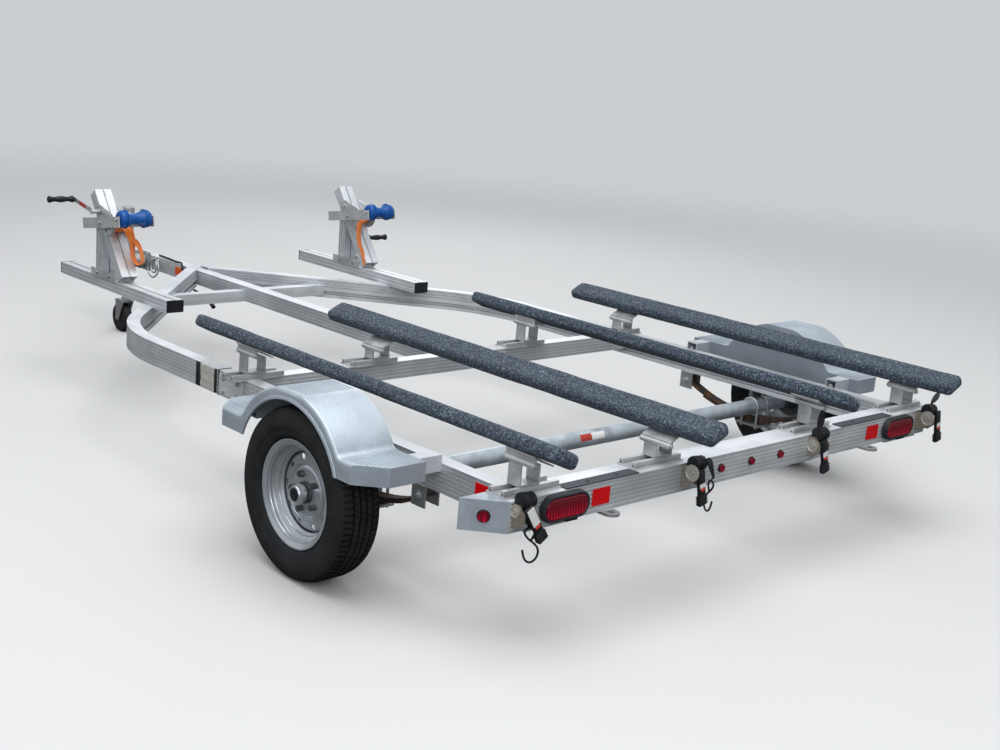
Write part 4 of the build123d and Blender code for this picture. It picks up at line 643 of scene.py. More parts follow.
pick(tyre, "faces", inCut)
bpy.ops.mesh.inset(thickness=tyreSizes["cutEdge"], depth=0.0, use_individual=False)
bpy.ops.mesh.extrude_region_shrink_fatten(TRANSFORM_OT_shrink_fatten={"value": -tyreSizes["cutDepth"]})
pick(tyre, "faces", inSipe)
bpy.ops.mesh.inset(thickness=tyreSizes["sipe"], depth=-tyreSizes["sipeDepth"], use_individual=True)
leaveEdit()
otherTyre = copyTo(tyre, Matrix.Translation((0, -2 * tyreCentre.y, 0)))
for side, piece in (("left", tyre), ("right", otherTyre)):
    settle(piece, f"tyre{side.title()}", f"wheel_{side}", tyreRubber, 28.0)
    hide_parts(f"tyre_{side}")
print("tyres made")

# bunks: carpet drawn over boards, a little uneven, tucked in at the ends
bunkSizes = {
    "height": 0.552, "width": 0.092, "thickness": 0.048, "tilt": 25.0, "front": 1.038, "edge": 0.0165,
    "slack": 0.0020, "cuts": 150, "crossCuts": 6, "tuck": 0.004, "tuckDepth": 0.0012,
    # grain and strength of the clouds that push the carpet about
    "uneven": (0.09, 0.0030), "pile": (0.006, 0.0012),
    "rows": {
        # middle, side of its craft, rear end
        "outer_left": (0.960, 1, -0.806), "inner_left": (0.383, -1, -0.856),
        "inner_right": (-0.356, 1, -0.826), "outer_right": (-0.960, -1, -0.856),
    },
}


def crumple(piece, name, grain, strength):
    # pushes a surface in and out by a cloud pattern
    cloud = bpy.data.textures.get(name) or bpy.data.textures.new(name, "CLOUDS")
    cloud.noise_scale = grain
    push = piece.modifiers.new(name, "DISPLACE")
    push.texture = cloud
    push.texture_coords = "LOCAL"
    push.strength = strength


def finer(piece):
    smooth = piece.modifiers.new("finer", "SUBSURF")
    smooth.levels = smooth.render_levels = 1


def makeBunk(sizes, name, middle, side, rear):
    clearSelection()
    length = sizes["front"] - rear
    size = [part - sizes["slack"] for part in (length, sizes["width"], sizes["thickness"])]
    place = (axleX + (sizes["front"] + rear) / 2, middle, sizes["height"])
    tilt = math.radians(sizes["tilt"]) * side
    bpy.ops.mesh.primitive_cube_add(size=1.0, location=place, rotation=(tilt, 0, 0), scale=size)
    bunk = bpy.context.object
    bpy.ops.object.transform_apply(location=False, rotation=False, scale=True)
    nearEnd = length * 0.45
    pick(bunk, "edges", lambda a, b: abs(a.x - b.x) > 0.1 or abs(a.x) > nearEnd)
    bpy.ops.mesh.bevel(offset=sizes["edge"], segments=4, profile=0.5, affect="EDGES")
    pick(bunk, "edges", lambda a, b: abs(a.x - b.x) > 0.5)
    bpy.ops.mesh.subdivide(number_cuts=sizes["cuts"])
    pick(bunk, "edges", lambda a, b: abs(a.x - b.x) < touching and abs(a.y - b.y) > 0.05)
    bpy.ops.mesh.subdivide(number_cuts=sizes["crossCuts"])
    pick(bunk, "faces", lambda centre, normal: abs(normal.x) > 0.9)
    bpy.ops.mesh.inset(thickness=sizes["tuck"], depth=sizes["tuckDepth"])
    leaveEdit()
    crumple(bunk, "unevenCloud", *sizes["uneven"])
    finer(bunk)
    crumple(bunk, "pileCloud", *sizes["pile"])
    applyAll(bunk)
    settle(bunk, f"bunk_{name}_carpet", "frame", bunkCarpet, 60.0)
    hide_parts(f"bunk_{name}")


for rowName, row in bunkSizes["rows"].items():
    makeBunk(bunkSizes, rowName, *row)
print("bunks made")

# fenders: folded sheet hood with a flat crown, rounded shoulder, rolled lip and grip ribs
fenderSizes = {
    "centre": (axleX + 0.010, 0.300), "outer": 1.295, "width": 0.205, "radius": 0.288, "crown": 0.581,
    "stepTop": 0.448, "skirt": 0.390, "front": 0.429, "rear": 0.390, "cornerCut": 0.078, "shoulder": 0.010,
    "wall": 0.0025, "valley": 0.0088, "foot": ((0.018, 0.0), (0.008, 0.0028)), "opening": 0.252,
    "discDepth": 0.03, "arcSteps": 30, "turnSteps": 96, "stubs": (0.377, -0.318), "stubTop": 0.4455,
    "notch": (0.05104, 0.02, 0.1455),
    # rim's radius and distance out from the outer side
    "rim": (
        (0.251, -0.005), (0.2505, 0.0), (0.253, 0.003), (0.2575, 0.0024), (0.262, 0.0012), (0.264, -0.002),
    ),
    "rimWall": 0.002, "ribPitch": 0.0118, "ribWidth": 0.0042, "ribHeight": 0.0024, "ribSunk": 0.0004,
    "ribInset": 0.014, "ribShoulder": 0.006, "ribFromArc": 0.026, "ribFromCrown": 0.006, "ribFromCut": 0.008,
    "ribLeast": 0.012, "ribSlope": 0.002, "ribTop": 0.4,
}


def fenderProfile(sizes):
    # half circle cut flat at the crown, a small curve into each step, and the skirt below
    cx, cz = sizes["centre"]
    radius, level, skirt = sizes["radius"], sizes["stepTop"], sizes["skirt"]
    low = math.asin((level + sizes["valley"] - cz) / radius)
    high = math.asin((sizes["crown"] - cz) / radius)
    turns = [low + (high - low) * step / sizes["arcSteps"] for step in range(sizes["arcSteps"] + 1)]
    arc = [(cx + radius * math.cos(turn), cz + radius * math.sin(turn)) for turn in turns]
    points = [(arc[0][0] + out, level + up) for out, up in sizes["foot"]] + arc
    rear = [(2 * cx - x, z) for x, z in reversed(points)]
    front, back = cx + sizes["front"], cx - sizes["rear"]
    return points + rear + [(back, level), (back, skirt), (front, skirt), (front, level)]


def makeFender(sizes):
    cx, cz = sizes["centre"]
    outer = sizes["outer"]
    outline = [(x, outer, z) for x, z in fenderProfile(sizes)]
    hood = drawChain(outline + outline[:1])
    editAll(hood)
    bpy.ops.mesh.remove_doubles(threshold=touching)
    bpy.ops.mesh.edge_face_add()
    bpy.ops.mesh.extrude_region_move(TRANSFORM_OT_translate={"value": (0, -sizes["width"], 0)})
    bpy.ops.mesh.select_all(action="SELECT")
    bpy.ops.mesh.normals_make_consistent(inside=False)

    def isCorner(a, b):
        upright = abs(a.x - b.x) < touching and abs(a.z - b.z) > 0.02
        return upright and min(a.y, b.y) > outer - near and abs(a.x - cx) > 0.3

    pick(hood, "edges", isCorner)
    bpy.ops.mesh.bevel(offset=sizes["cornerCut"], segments=1, affect="EDGES")
    pick(hood, "edges", lambda a, b: min(a.y, b.y) > outer - near and min(a.z, b.z) > sizes["stepTop"] - near)
    bpy.ops.mesh.bevel(offset=sizes["shoulder"], segments=4, profile=0.5, affect="EDGES")
    pick(hood, "faces", lambda centre, normal: normal.z < -0.9 and centre.z < sizes["skirt"] + near)
    bpy.ops.mesh.delete(type="FACE")
    leaveEdit()
    thicken(hood, sizes["wall"])
    tools = [makeCylinder(sizes["turnSteps"], sizes["opening"], sizes["discDepth"], (cx, outer, cz), 90.0)]
    middle = sizes["stubTop"] - sizes["notch"][2] / 2
    for stub in sizes["stubs"]:
        tools.append(makeBox((axleX + stub, outer - sizes["width"], middle), sizes["notch"]))
    for tool in tools:
        cut = hood.modifiers.new("cut", "BOOLEAN")
        cut.operation = "DIFFERENCE"
        cut.solver = "EXACT"
        cut.object = tool
    applyAll(hood)
    for tool in tools:
        bpy.data.objects.remove(tool)
    return hood


def makeLip(sizes):
    # a rolled rim spun round the opening, kept above the skirt
    cx, cz = sizes["centre"]
    piece = drawChain([(cx, sizes["outer"] + out, cz + r) for r, out in sizes["rim"]])
    spinWhole(piece, (cx, 0, cz), (0, 1, 0), sizes["turnSteps"])
    editAll(piece)
    bpy.ops.mesh.bisect(plane_co=(cx, 0, sizes["skirt"]), plane_no=(0, 0, 1), clear_inner=True)
    leaveEdit()
    thicken(piece, sizes["rimWall"])
    return piece


def makeRibs(sizes):
    # fine raised lines along the crown and both steps; the steps' ribs stop short of the cut corners
    cx, cz = sizes["centre"]
    footX = math.sqrt(sizes["radius"] ** 2 - (sizes["stepTop"] - cz) ** 2) + sizes["ribFromArc"]
    flat = math.sqrt(sizes["radius"] ** 2 - (sizes["crown"] - cz) ** 2) - sizes["ribFromCrown"]
    innerY = sizes["outer"] - sizes["width"] + sizes["ribInset"]
    outerY = sizes["outer"] - sizes["shoulder"] - sizes["ribShoulder"]
    rise = sizes["ribHeight"] / 2 - sizes["ribSunk"]
    ribs = []
    for row in range(int((outerY - innerY) / sizes["ribPitch"]) + 1):
        y = innerY + row * sizes["ribPitch"]
        short = max(0.0, sizes["cornerCut"] - (sizes["outer"] - y)) + sizes["ribFromCut"]
        runs = ((cx - flat, cx + flat, sizes["crown"]),
                (cx + footX, cx + sizes["front"] - short, sizes["stepTop"]),
                (cx - sizes["rear"] + short, cx - footX, sizes["stepTop"]))
        for start, end, z in runs:
            if end - start < sizes["ribLeast"]:
                continue
            size = (end - start, sizes["ribWidth"], sizes["ribHeight"])
            rib = makeBox(((start + end) / 2, y, z + rise), size)
            pick(rib, "faces", lambda centre, normal: normal.z > 0.9)
            bpy.ops.transform.resize(value=(1.0 - sizes["ribSlope"] / (end - start), sizes["ribTop"], 1.0))
            leaveEdit()
            ribs.append(rib)
    return joined(ribs)


fender = joined([makeFender(fenderSizes), makeLip(fenderSizes), makeRibs(fenderSizes)])
otherFender = mirrored(fender, "fenderRight")
for side, piece in (("left", fender), ("right", otherFender)):
    settle(piece, f"fender_{side}_sheet", "frame", fenderSheet, 32.0)
    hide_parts(f"fender_{side}")
print("fenders made")

# fasteners: one hexagon bolt with its washer, copied to every place
boltSizes = {"head": 0.0082, "height": 0.0055, "washer": 0.0122, "washerThick": 0.0016, "edge": 0.0010}


def makeBolt(sizes):
    under = sizes["washerThick"]
    top = under + sizes["height"]
    parts = []
    # radius, height, its middle, sides, top, edge and the edge's segments: head, then washer
    for radius, height, middle, sides, upper, edge, segments in (
        (sizes["head"], sizes["height"], under + sizes["height"] / 2, 6, top, sizes["edge"], 2),
        (sizes["washer"], under, under / 2, 18, under, sizes["edge"] * 0.5, 1),
    ):
        piece = makeCylinder(sides, radius, height, (0, 0, middle))
        pick(piece, "edges", lambda a, b: min(a.z, b.z) > upper - touching)
        bpy.ops.mesh.bevel(offset=edge, segments=segments, affect="EDGES")
        leaveEdit()
        parts.append(piece)
    return joined(parts)


ways = {
    "up": (0, 0, 1), "down": (0, 0, -1), "left": (0, 1, 0), "right": (0, -1, 0),
    "ahead": (1, 0, 0), "back": (-1, 0, 0),
}
both = (1, -1)
pairedBolts = (
    # stations, distances to the side, heights, way and size: one bolt for each of them, on both sides
    ((-0.66,), (0.85, 0.975), (0.324,), "down", 1.0), ((-0.50,), (0.975,), (0.324,), "down", 1.0),
    ((0.735, 0.825), (1.005,), (0.352, 0.398), "out", 0.9),
    ((0.345, -0.253), (1.003,), (0.296,), "out", 1.0), ((0.345, -0.253), (0.946,), (0.296,), "in", 1.0),
    ((0.0353, -0.0353), (1.0075, 0.9415), (0.190,), "down", 0.95),
    ((-0.622,), (1.014,), (0.420,), "up", 0.9), ((-0.672,), (0.985,), (0.420,), "up", 0.9),
    ((-0.655, -0.625), (0.672,), (0.322,), "down", 0.9), ((0.377, -0.318), (1.000,), (0.421,), "out", 0.75),
    ((2.268,), (0.711,), (0.712,), "out", 1.15), ((2.268,), (0.605,), (0.712,), "in", 1.15),
    ((2.352,), (0.615,), (0.757,), "in", 1.0),
)
boltRows = []   # station along the trailer, distance to the left, height, way, size
for s in both:
    toward = {"out": "left", "in": "right"} if s > 0 else {"out": "right", "in": "left"}
    for stations, distances, heights, way, size in pairedBolts:
        way = toward.get(way, way)
        boltRows += [(x, s * y, z, way, size) for x in stations for y in distances for z in heights]
# jack's bracket, then the coupler
boltRows += [(x, 0.040, z, "left", 1.0) for x in (3.125, 3.215) for z in (0.336, 0.414)]
boltRows += [(x, s * 0.0365, 0.385, "left" if s > 0 else "right", 1.0) for x in (3.43, 3.48) for s in both]

bracketSizes = {
    "rear": -0.639, "front": 0.7225, "besideHinge": 0.0335, "besideNut": 0.033, "behindNut": 0.004,
    "underBoard": 0.037, "hingeTop": 0.513, "hingeEnds": ((-0.075, "back"), (0.040, "ahead")),
    "hingeBolt": 0.72, "nut": 0.85, "frontNuts": (0.452, 0.486), "rearNuts": (0.486,),
    "rows": (
        # board's middle, side of its craft, middles of its rear and front brackets
        (0.960, 1, 0.959, 0.955), (0.383, -1, 0.398, 0.415), (-0.356, 1, -0.393, -0.356),
        (-0.960, -1, -0.973, -0.936),
    ),
}


def hingePlace(sizes, middle, side, bunkY):
    # where a bunk bracket's hinge is, from its bracket's middle and its board's slope
    y = middle + sizes["besideHinge"]
    slope = math.radians(bunkSizes["tilt"])
    under = bunkSizes["height"] - sizes["underBoard"] / math.cos(slope)
    return y, min(under + side * (y - bunkY) * math.tan(slope), sizes["hingeTop"])


nutRows = []
for bunkY, side, rearMiddle, frontMiddle in bracketSizes["rows"]:
    for station, middle in ((bracketSizes["rear"], rearMiddle), (bracketSizes["front"], frontMiddle)):
        y, z = hingePlace(bracketSizes, middle, side, bunkY)
        size = bracketSizes["hingeBolt"]
        boltRows += [(station + along, y, z, way, size) for along, way in bracketSizes["hingeEnds"]]
    for end, middle in (("front", frontMiddle), ("rear", rearMiddle)):
        station, y = bracketSizes[end] - bracketSizes["behindNut"], middle + bracketSizes["besideNut"]
        nutRows += [(station, y, z, "right", bracketSizes["nut"]) for z in bracketSizes[f"{end}Nuts"]]
bolt = makeBolt(boltSizes)


def placedCopies(source, rows):
    made = []
    for station, y, z, way, size in rows:
        place = Matrix.Translation((axleX + station, y, z))
        made.append(copyTo(source, place @ facing(ways[way]) @ Matrix.Scale(size, 4)))
    for piece in made:
        applyPlace(piece)
    return joined(made)


settle(placedCopies(bolt, boltRows), "frameBolts", "frame", brightZinc, 30.0)
settle(placedCopies(bolt, nutRows), "bracketNuts", "frame", brassZinc, 30.0)
bpy.data.objects.remove(bolt)
print("fasteners made:", len(boltRows) + len(nutRows))

# wheels: plug in each hub cap, ridges pressed into the rim's barrel
wheelSizes = {
    "plugSize": (0.0195, 0.0035), "hubEnd": 0.0552, "cap": 0.0277, "plugSteps": 32, "ridgeSteps": 72,
    "sleeveSteps": 48,
    # shares of the plug's radius and rise, from its back to its dimple
    "plug": ((0, 0), (1, 0), (1, 0.5), (0.85, 1), (0.45, 0.9), (0.38, 0.45), (0, 0.4)),
    # radius, distance out from the wheel's middle, half thickness
    "ridges": (
        (0.1470, 0.0440, 0.0020), (0.1466, 0.0300, 0.0018), (0.1318, 0.0205, 0.0018),
        (0.0880, 0.0150, 0.0016),
    ),
    # shares of that half thickness: outward from the radius, and along the axle
    "ridge": ((1, -1), (-0.6, -0.7), (-1, 0), (-0.6, 0.7), (1, 1), (1, -1)),
    # beyond the cap's radius, beyond the hub's end
    "sleeve": (
        (-0.0072, 0.0006), (-0.0030, 0.0009), (0.0006, -0.0035), (0.0006, -0.014), (0.0018, -0.0150),
        (0.0018, -0.0185), (0.0004, -0.0195), (0.0004, -0.026), (-0.0072, -0.026), (-0.0072, 0.0006),
    ),
}


def spunOnWheel(rows, steps):
    # rows are radius and distance out from the wheel's middle plane
    piece = drawChain([(tyreCentre.x, tyreCentre.y + out, tyreCentre.z + r) for r, out in rows])
    spinWhole(piece, tyreCentre, (0, 1, 0), steps)
    return piece


def makePlug(sizes):
    wide, rise = sizes["plugSize"]
    return spunOnWheel([(wide * a, sizes["hubEnd"] + rise * b) for a, b in sizes["plug"]], sizes["plugSteps"])


def makeRidges(sizes):
    # pressed rings in the rim's barrel and the bright sleeve of the hub's cap
    rings = []
    for r, out, half in sizes["ridges"]:
        rows = [(r + half * a, out + half * b) for a, b in sizes["ridge"]]
        rings.append(spunOnWheel(rows, sizes["ridgeSteps"]))
    sleeve = [(sizes["cap"] + a, sizes["hubEnd"] + b) for a, b in sizes["sleeve"]]
    return joined(rings + [spunOnWheel(sleeve, sizes["sleeveSteps"])])


plug, ridges = makePlug(wheelSizes), makeRidges(wheelSizes)
dressings = (
    ("rimRidges", ridges, wheelPaint, "wheel_paint"), ("hubPlug", plug, blackPlastic, "black_plastic"),
)
for name, piece, finish, slot in dressings:
    other = mirrored(piece, f"{name}Right")
    settle(piece, f"{name}Left", "wheel_left", finish, 40.0)
    settle(other, f"{name}Right", "wheel_right", finish, 40.0)
print("wheels dressed")

# winch straps: flat webbing wound on each drum, thrown back over the coil and let down
strapSizes = {
    "width": 0.044, "thick": 0.0021, "drum": (2.268, 0.712), "drumRadius": 0.0205, "turns": 4.4,
    "gap": 0.0027, "perTurn": 26, "leaves": -135.0,
    "left": [
        # station, distance to the left, height, twist in degrees, share of the width
        (2.228, 0.658, 0.7010, 0, 1.00), (2.208, 0.657, 0.7080, 0, 1.00), (2.190, 0.655, 0.7060, 0, 1.00),
        (2.180, 0.653, 0.6970, 0, 1.00), (2.175, 0.651, 0.6830, 6, 0.95), (2.172, 0.643, 0.6640, 16, 0.92),
        (2.170, 0.638, 0.6450, 26, 0.92), (2.168, 0.640, 0.6280, 33, 0.92), (2.166, 0.6425, 0.6100, 36, 0.94),
        (2.164, 0.641, 0.5900, 37, 0.94), (2.162, 0.635, 0.5700, 38, 0.94), (2.161, 0.624, 0.5560, 38, 0.94),
        (2.160, 0.6055, 0.5475, 39, 0.94), (2.163, 0.5945, 0.5555, 40, 0.94),
        (2.165, 0.5925, 0.5710, 41, 0.94), (2.167, 0.596, 0.5910, 41, 0.94),
        (2.169, 0.6005, 0.6110, 40, 0.94), (2.171, 0.608, 0.6285, 36, 0.92),
        (2.173, 0.620, 0.6455, 28, 0.92), (2.175, 0.632, 0.6620, 18, 0.92),
    ],
    "right": [
        (2.228, -0.652, 0.7010, 0, 1.00), (2.208, -0.630, 0.7060, 0, 1.00), (2.190, -0.603, 0.7050, 4, 0.92),
        (2.178, -0.587, 0.698, 10, 0.85), (2.173, -0.578, 0.684, 15, 0.80), (2.171, -0.575, 0.660, 18, 0.78),
        (2.170, -0.5755, 0.635, 20, 0.78), (2.170, -0.577, 0.612, 21, 0.78), (2.170, -0.585, 0.591, 22, 0.75),
        (2.170, -0.5935, 0.574, 23, 0.75), (2.170, -0.602, 0.559, 24, 0.72),
        (2.170, -0.6125, 0.526, 26, 0.66), (2.170, -0.621, 0.494, 28, 0.60), (2.170, -0.624, 0.483, 28, 0.58),
    ],
}


def makeRibbon(rows, width, thick):
    # flat webbing: a drawn line pulled out sideways, its rows turned and gathered, then given thickness
    ribbon = drawChain([(axleX + row[0], row[1] - width / 2, row[2]) for row in rows])
    pullOut(ribbon, (0, width, 0))
    for x, y, z, twist, share in rows:
        if not twist and share == 1.0:
            continue
        spot = Vector((axleX + x, y, z))
        pick(ribbon, "corners", lambda co: abs(co.x - spot.x) < touching and abs(co.z - spot.z) < touching)
        bpy.ops.transform.resize(value=(1, share, 1), center_override=spot)
        bpy.ops.transform.rotate(value=math.radians(-twist), orient_axis="Z", center_override=spot)
    takePiece(ribbon)
    finer(ribbon)
    thicken(ribbon, thick, 0.0)
    editAll(ribbon)
    bpy.ops.mesh.normals_make_consistent(inside=False)
    leaveEdit()
    return ribbon


def coilRows(sizes, middle):
    # the wound part, from the drum outwards to where the webbing leaves it
    dx, dz = sizes["drum"]
    steps = int(sizes["turns"] * sizes["perTurn"])
    rows = []
    for step in range(steps + 1):
        turn = math.radians(sizes["leaves"]) + (steps - step) / sizes["perTurn"] * 2 * math.pi
        radius = sizes["drumRadius"] + sizes["gap"] * step / sizes["perTurn"]
        rows.append((dx + radius * math.cos(turn), middle, dz + radius * math.sin(turn), 0, 1.0))
    return rows


winchY = strapSizes["left"][0][1]
wound = []
for side, middle in (("left", winchY), ("right", -winchY)):
    rows = coilRows(strapSizes, middle) + strapSizes[side]
    wound.append(makeRibbon(rows, strapSizes["width"], strapSizes["thick"]))
straps = joined(wound)
settle(straps, "winchWebbing", "frame", strapWebbing, 50.0)
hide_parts("winch_straps")
print("straps made")

# tie-down reels: ribbed drums, release levers with blank tags, hooks and short black straps
reelSizes = {
    "x": -0.720, "drums": ((0.0125, 0.4290), (-0.0125, 0.4265)),
    # radius (a ratchet's is in its row), width, strips round the side, inset and height of a tooth
    "drum": (0.0205, 0.0205, 28, 0.0005, 0.0017), "ratchet": (0.0030, 36, 0.0003, 0.0026), "plateY": 0.0270,
    "leverX": -0.751, "lever": (0.012, 0.030, 0.116), "leverEdge": 0.0035, "tag": (0.0016, 0.026),
    "tagFrom": 0.0020, "tagEdge": 0.0006, "button": (0.0040, 0.018, 0.009), "buttonAt": 0.0080,
    "proud": 0.0004, "tip": (0.0155, 0.034, 0.034), "tipBelow": 0.004, "tipEdge": 0.003, "tipRibs": 4,
    "ribPitch": 0.0075, "rib": (0.0185, 0.0370, 0.0038), "smallEdge": 0.0012,
    # insets and depths of the ratchet's face: its rim, its dish as far as the boss, and the boss
    "rim": ((0.0022, 0.0), (0.0010, -0.0009)), "dish": 0.0112,
    "boss": ((0.0006, 0.0028), (0.0022, 0.0), (0.0005, -0.0016)),
    "rows": (
        # reel's middle, lever's middle beside it and its height, tilt, tag's length, drums' setback,
        # ratchet's x, z and radius
        (1.024, -0.012, 0.367, 32.0, 0.058, 0.0, -0.7090, 0.3960, 0.0165),
        (0.320, -0.009, 0.356, 13.0, 0.014, 0.013, -0.7400, 0.4020, 0.0240),
        (-0.340, 0.004, 0.358, 15.0, 0.018, 0.004, -0.7160, 0.3860, 0.0200),
        (-1.020, -0.042, 0.366, 13.0, 0.016, 0.013, -0.7455, 0.4015, 0.0255),
    ),
}
hookSizes = {
    "wire": 0.0032, "x": -0.737,
    "path": [
        # beside its reel, height: from the eye down round the open end
        (-0.016, 0.3160), (-0.027, 0.3330), (-0.023, 0.3456), (-0.006, 0.3525), (0.010, 0.3490),
        (0.0095, 0.3370), (-0.006, 0.3205), (-0.0255, 0.3058), (-0.0400, 0.2919), (-0.0460, 0.2776),
        (-0.0425, 0.2632), (-0.0320, 0.2542), (-0.0180, 0.2515), (-0.0035, 0.2580), (0.0065, 0.2700),
        (0.0120, 0.2828), (0.0150, 0.2930),
    ],
    # the second hook is turned about the first one's eye and moved: ahead, beside its reel, up
    "eye": -0.016, "turn": 60.0, "moved": (0.004, -0.058, 0.010),
}


def smoothPath(points, between):
    # a soft curve through the points
    ends = [Vector(point) for point in (points[0], *points, points[-1])]
    path = []
    for a, b, c, d in zip(ends, ends[1:], ends[2:], ends[3:]):
        for step in range(between):
            t = step / between
            bent = (2 * a - 5 * b + 4 * c - d) * t ** 2 + (3 * b - a - 3 * c + d) * t ** 3
            path.append(0.5 * (2 * b + (c - a) * t + bent))
    return path + ends[-1:]


def makeTube(points, radius, between=3):
    # round wire along a soft curve, closed at both ends
    chain = drawChain(smoothPath(points, between))
    takePiece(chain)
    bpy.ops.object.convert(target="CURVE")
    chain = bpy.context.object
    chain.data.bevel_depth = radius
    chain.data.bevel_resolution = 2
    chain.data.use_fill_caps = True
    bpy.ops.object.convert(target="MESH")
    return bpy.context.object


def makeToothed(place, radius, width, strips, edge, tooth):
    # a wheel across the trailer, every other strip of its side drawn out
    wheel = makeCylinder(strips, radius, width, place, 90.0)
    centre = Vector(place)

    def isTooth(middle, normal):
        turn = math.atan2(middle.z - centre.z, middle.x - centre.x) / (2 * math.pi) * strips
        return abs(normal.y) < 0.5 and math.floor(turn + 100) % 2 == 0

    pick(wheel, "faces", isTooth)
    bpy.ops.mesh.inset(thickness=edge, depth=0.0, use_individual=True)
    bpy.ops.mesh.extrude_region_shrink_fatten(TRANSFORM_OT_shrink_fatten={"value": tooth})
    leaveEdit()
    return wheel


def makeLever(sizes, y, aside, height, tilt, tagLength):
    # lever body, ribbed tip, tag and button, each turned with the lever
    lean = math.radians(tilt)
    along = Vector((0, -math.sin(lean), -math.cos(lean)))
    middle = Vector((axleX + sizes["leverX"], y + aside, height))
    tipSpot = middle + along * (sizes["lever"][2] / 2 - sizes["tip"][2] / 2 + sizes["tipBelow"])
    tip = [roundedBox(middle, sizes["lever"], sizes["leverEdge"], -tilt),
           roundedBox(tipSpot, sizes["tip"], sizes["tipEdge"], -tilt)]
    for rib in range(sizes["tipRibs"]):
        spot = tipSpot + along * ((rib - (sizes["tipRibs"] - 1) / 2) * sizes["ribPitch"])
        tip.append(roundedBox(spot, sizes["rib"], sizes["smallEdge"], -tilt, segments=1))
    face = middle + Vector((-1, 0, 0)) * (sizes["lever"][0] / 2 + sizes["proud"])
    tagSpot = face + along * (sizes["tagFrom"] - tagLength / 2)
    tag = roundedBox(tagSpot, sizes["tag"] + (tagLength,), sizes["tagEdge"], -tilt, segments=1)
    buttonSpot = face + along * sizes["buttonAt"]
    button = roundedBox(buttonSpot, sizes["button"], sizes["smallEdge"], -tilt, segments=1)
    return tip, tag, button


def makeRatchet(sizes, place, radius):
    # toothed wheel against the reel's left plate: dished face and a raised boss in its middle
    wheel = makeToothed(place, radius, *sizes["ratchet"])
    centre = Vector(place)
    pick(wheel, "faces", lambda middle, normal: normal.y > 0.9 and (middle - centre).length < radius / 2)
    for inset, depth in (*sizes["rim"], (radius - sizes["dish"], 0.0), *sizes["boss"]):
        bpy.ops.mesh.inset(thickness=inset, depth=depth)
    leaveEdit()
    return wheel


blackBits, tagBits, buttonBits, ratchets = [], [], [], []
for y, aside, height, tilt, tagLength, setback, wheelX, wheelZ, wheelRadius in reelSizes["rows"]:
    tip, tag, button = makeLever(reelSizes, y, aside, height, tilt, tagLength)
    drumX = axleX + reelSizes["x"] - setback
    drums = [makeToothed((drumX, y + beside, z), *reelSizes["drum"]) for beside, z in reelSizes["drums"]]
    plateY = y + reelSizes["plateY"] + reelSizes["ratchet"][0] / 2
    ratchets.append(makeRatchet(reelSizes, (axleX + wheelX, plateY, wheelZ), wheelRadius))
    blackBits += drums + tip
    tagBits.append(tag)
    buttonBits.append(button)
settle(joined(ratchets), "reelRatchets", "frame", ratchetZinc, 30.0)
settle(joined(blackBits), "reelLevers", "frame", blackPlastic, 40.0)
settle(joined(tagBits), "reelTags", "frame", tagWhite, 40.0)
settle(joined(buttonBits), "reelButtons", "frame", releaseRed, 40.0)

firstY, secondY = reelSizes["rows"][0][0], reelSizes["rows"][1][0]
hook = makeTube([(axleX + hookSizes["x"], firstY + y, z) for y, z in hookSizes["path"]], hookSizes["wire"])
eye = Vector((axleX + hookSizes["x"], firstY + hookSizes["eye"], 0))
moved = Matrix.Translation(Vector(hookSizes["moved"]) + Vector((0, secondY - firstY, 0)))
turned = Matrix.Rotation(math.radians(hookSizes["turn"]), 4, "Z")
secondHook = copyTo(hook, moved @ Matrix.Translation(eye) @ turned @ Matrix.Translation(-eye))
hooks = joined([hook, secondHook])
settle(hooks, "tieHooks", "frame", blackPlastic, 60.0)
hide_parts("tie_down_hooks")

# short black straps: two over the left reels' levers to their hooks, two drawn up from the right reels
tieSizes = {
    "width": 0.026, "thick": 0.0024,
    # station, distance to the left, height, twist in degrees, share of the width
    "rows": (
        ((-0.738, 1.034, 0.442, 0, 1.0), (-0.742, 1.033, 0.425, 0, 1.0), (-0.7425, 1.030, 0.400, 0, 0.95),
         (-0.7425, 1.026, 0.378, 0, 0.85), (-0.7415, 1.021, 0.362, 0, 0.8), (-0.739, 1.018, 0.352, 0, 0.8)),
        ((-0.750, 0.294, 0.446, 0, 1.0), (-0.7565, 0.288, 0.430, 0, 1.0), (-0.758, 0.278, 0.405, 8, 0.8),
         (-0.756, 0.264, 0.384, 12, 0.6), (-0.750, 0.254, 0.372, 12, 0.5), (-0.737, 0.246, 0.364, 12, 0.5)),
        ((-0.7280, -0.318, 0.4470, 0, 1.0), (-0.7240, -0.330, 0.4580, -20, 1.0),
         (-0.7150, -0.345, 0.4740, -50, 0.95), (-0.7050, -0.360, 0.4880, -20, 0.9),
         (-0.6950, -0.378, 0.5020, 20, 0.95), (-0.6820, -0.398, 0.5150, 30, 1.0)),
        ((-0.7280, -1.040, 0.4470, 0, 1.0), (-0.7250, -1.058, 0.4560, -20, 1.0),
         (-0.7180, -1.082, 0.4640, -50, 0.95), (-0.7080, -1.108, 0.4720, -20, 0.9),
         (-0.7000, -1.132, 0.4800, 20, 0.95)),
    ),
}
ties = joined([makeRibbon(rows, tieSizes["width"], tieSizes["thick"]) for rows in tieSizes["rows"]])
settle(ties, "tieStraps", "frame", blackPlastic, 50.0)
print("reels dressed")

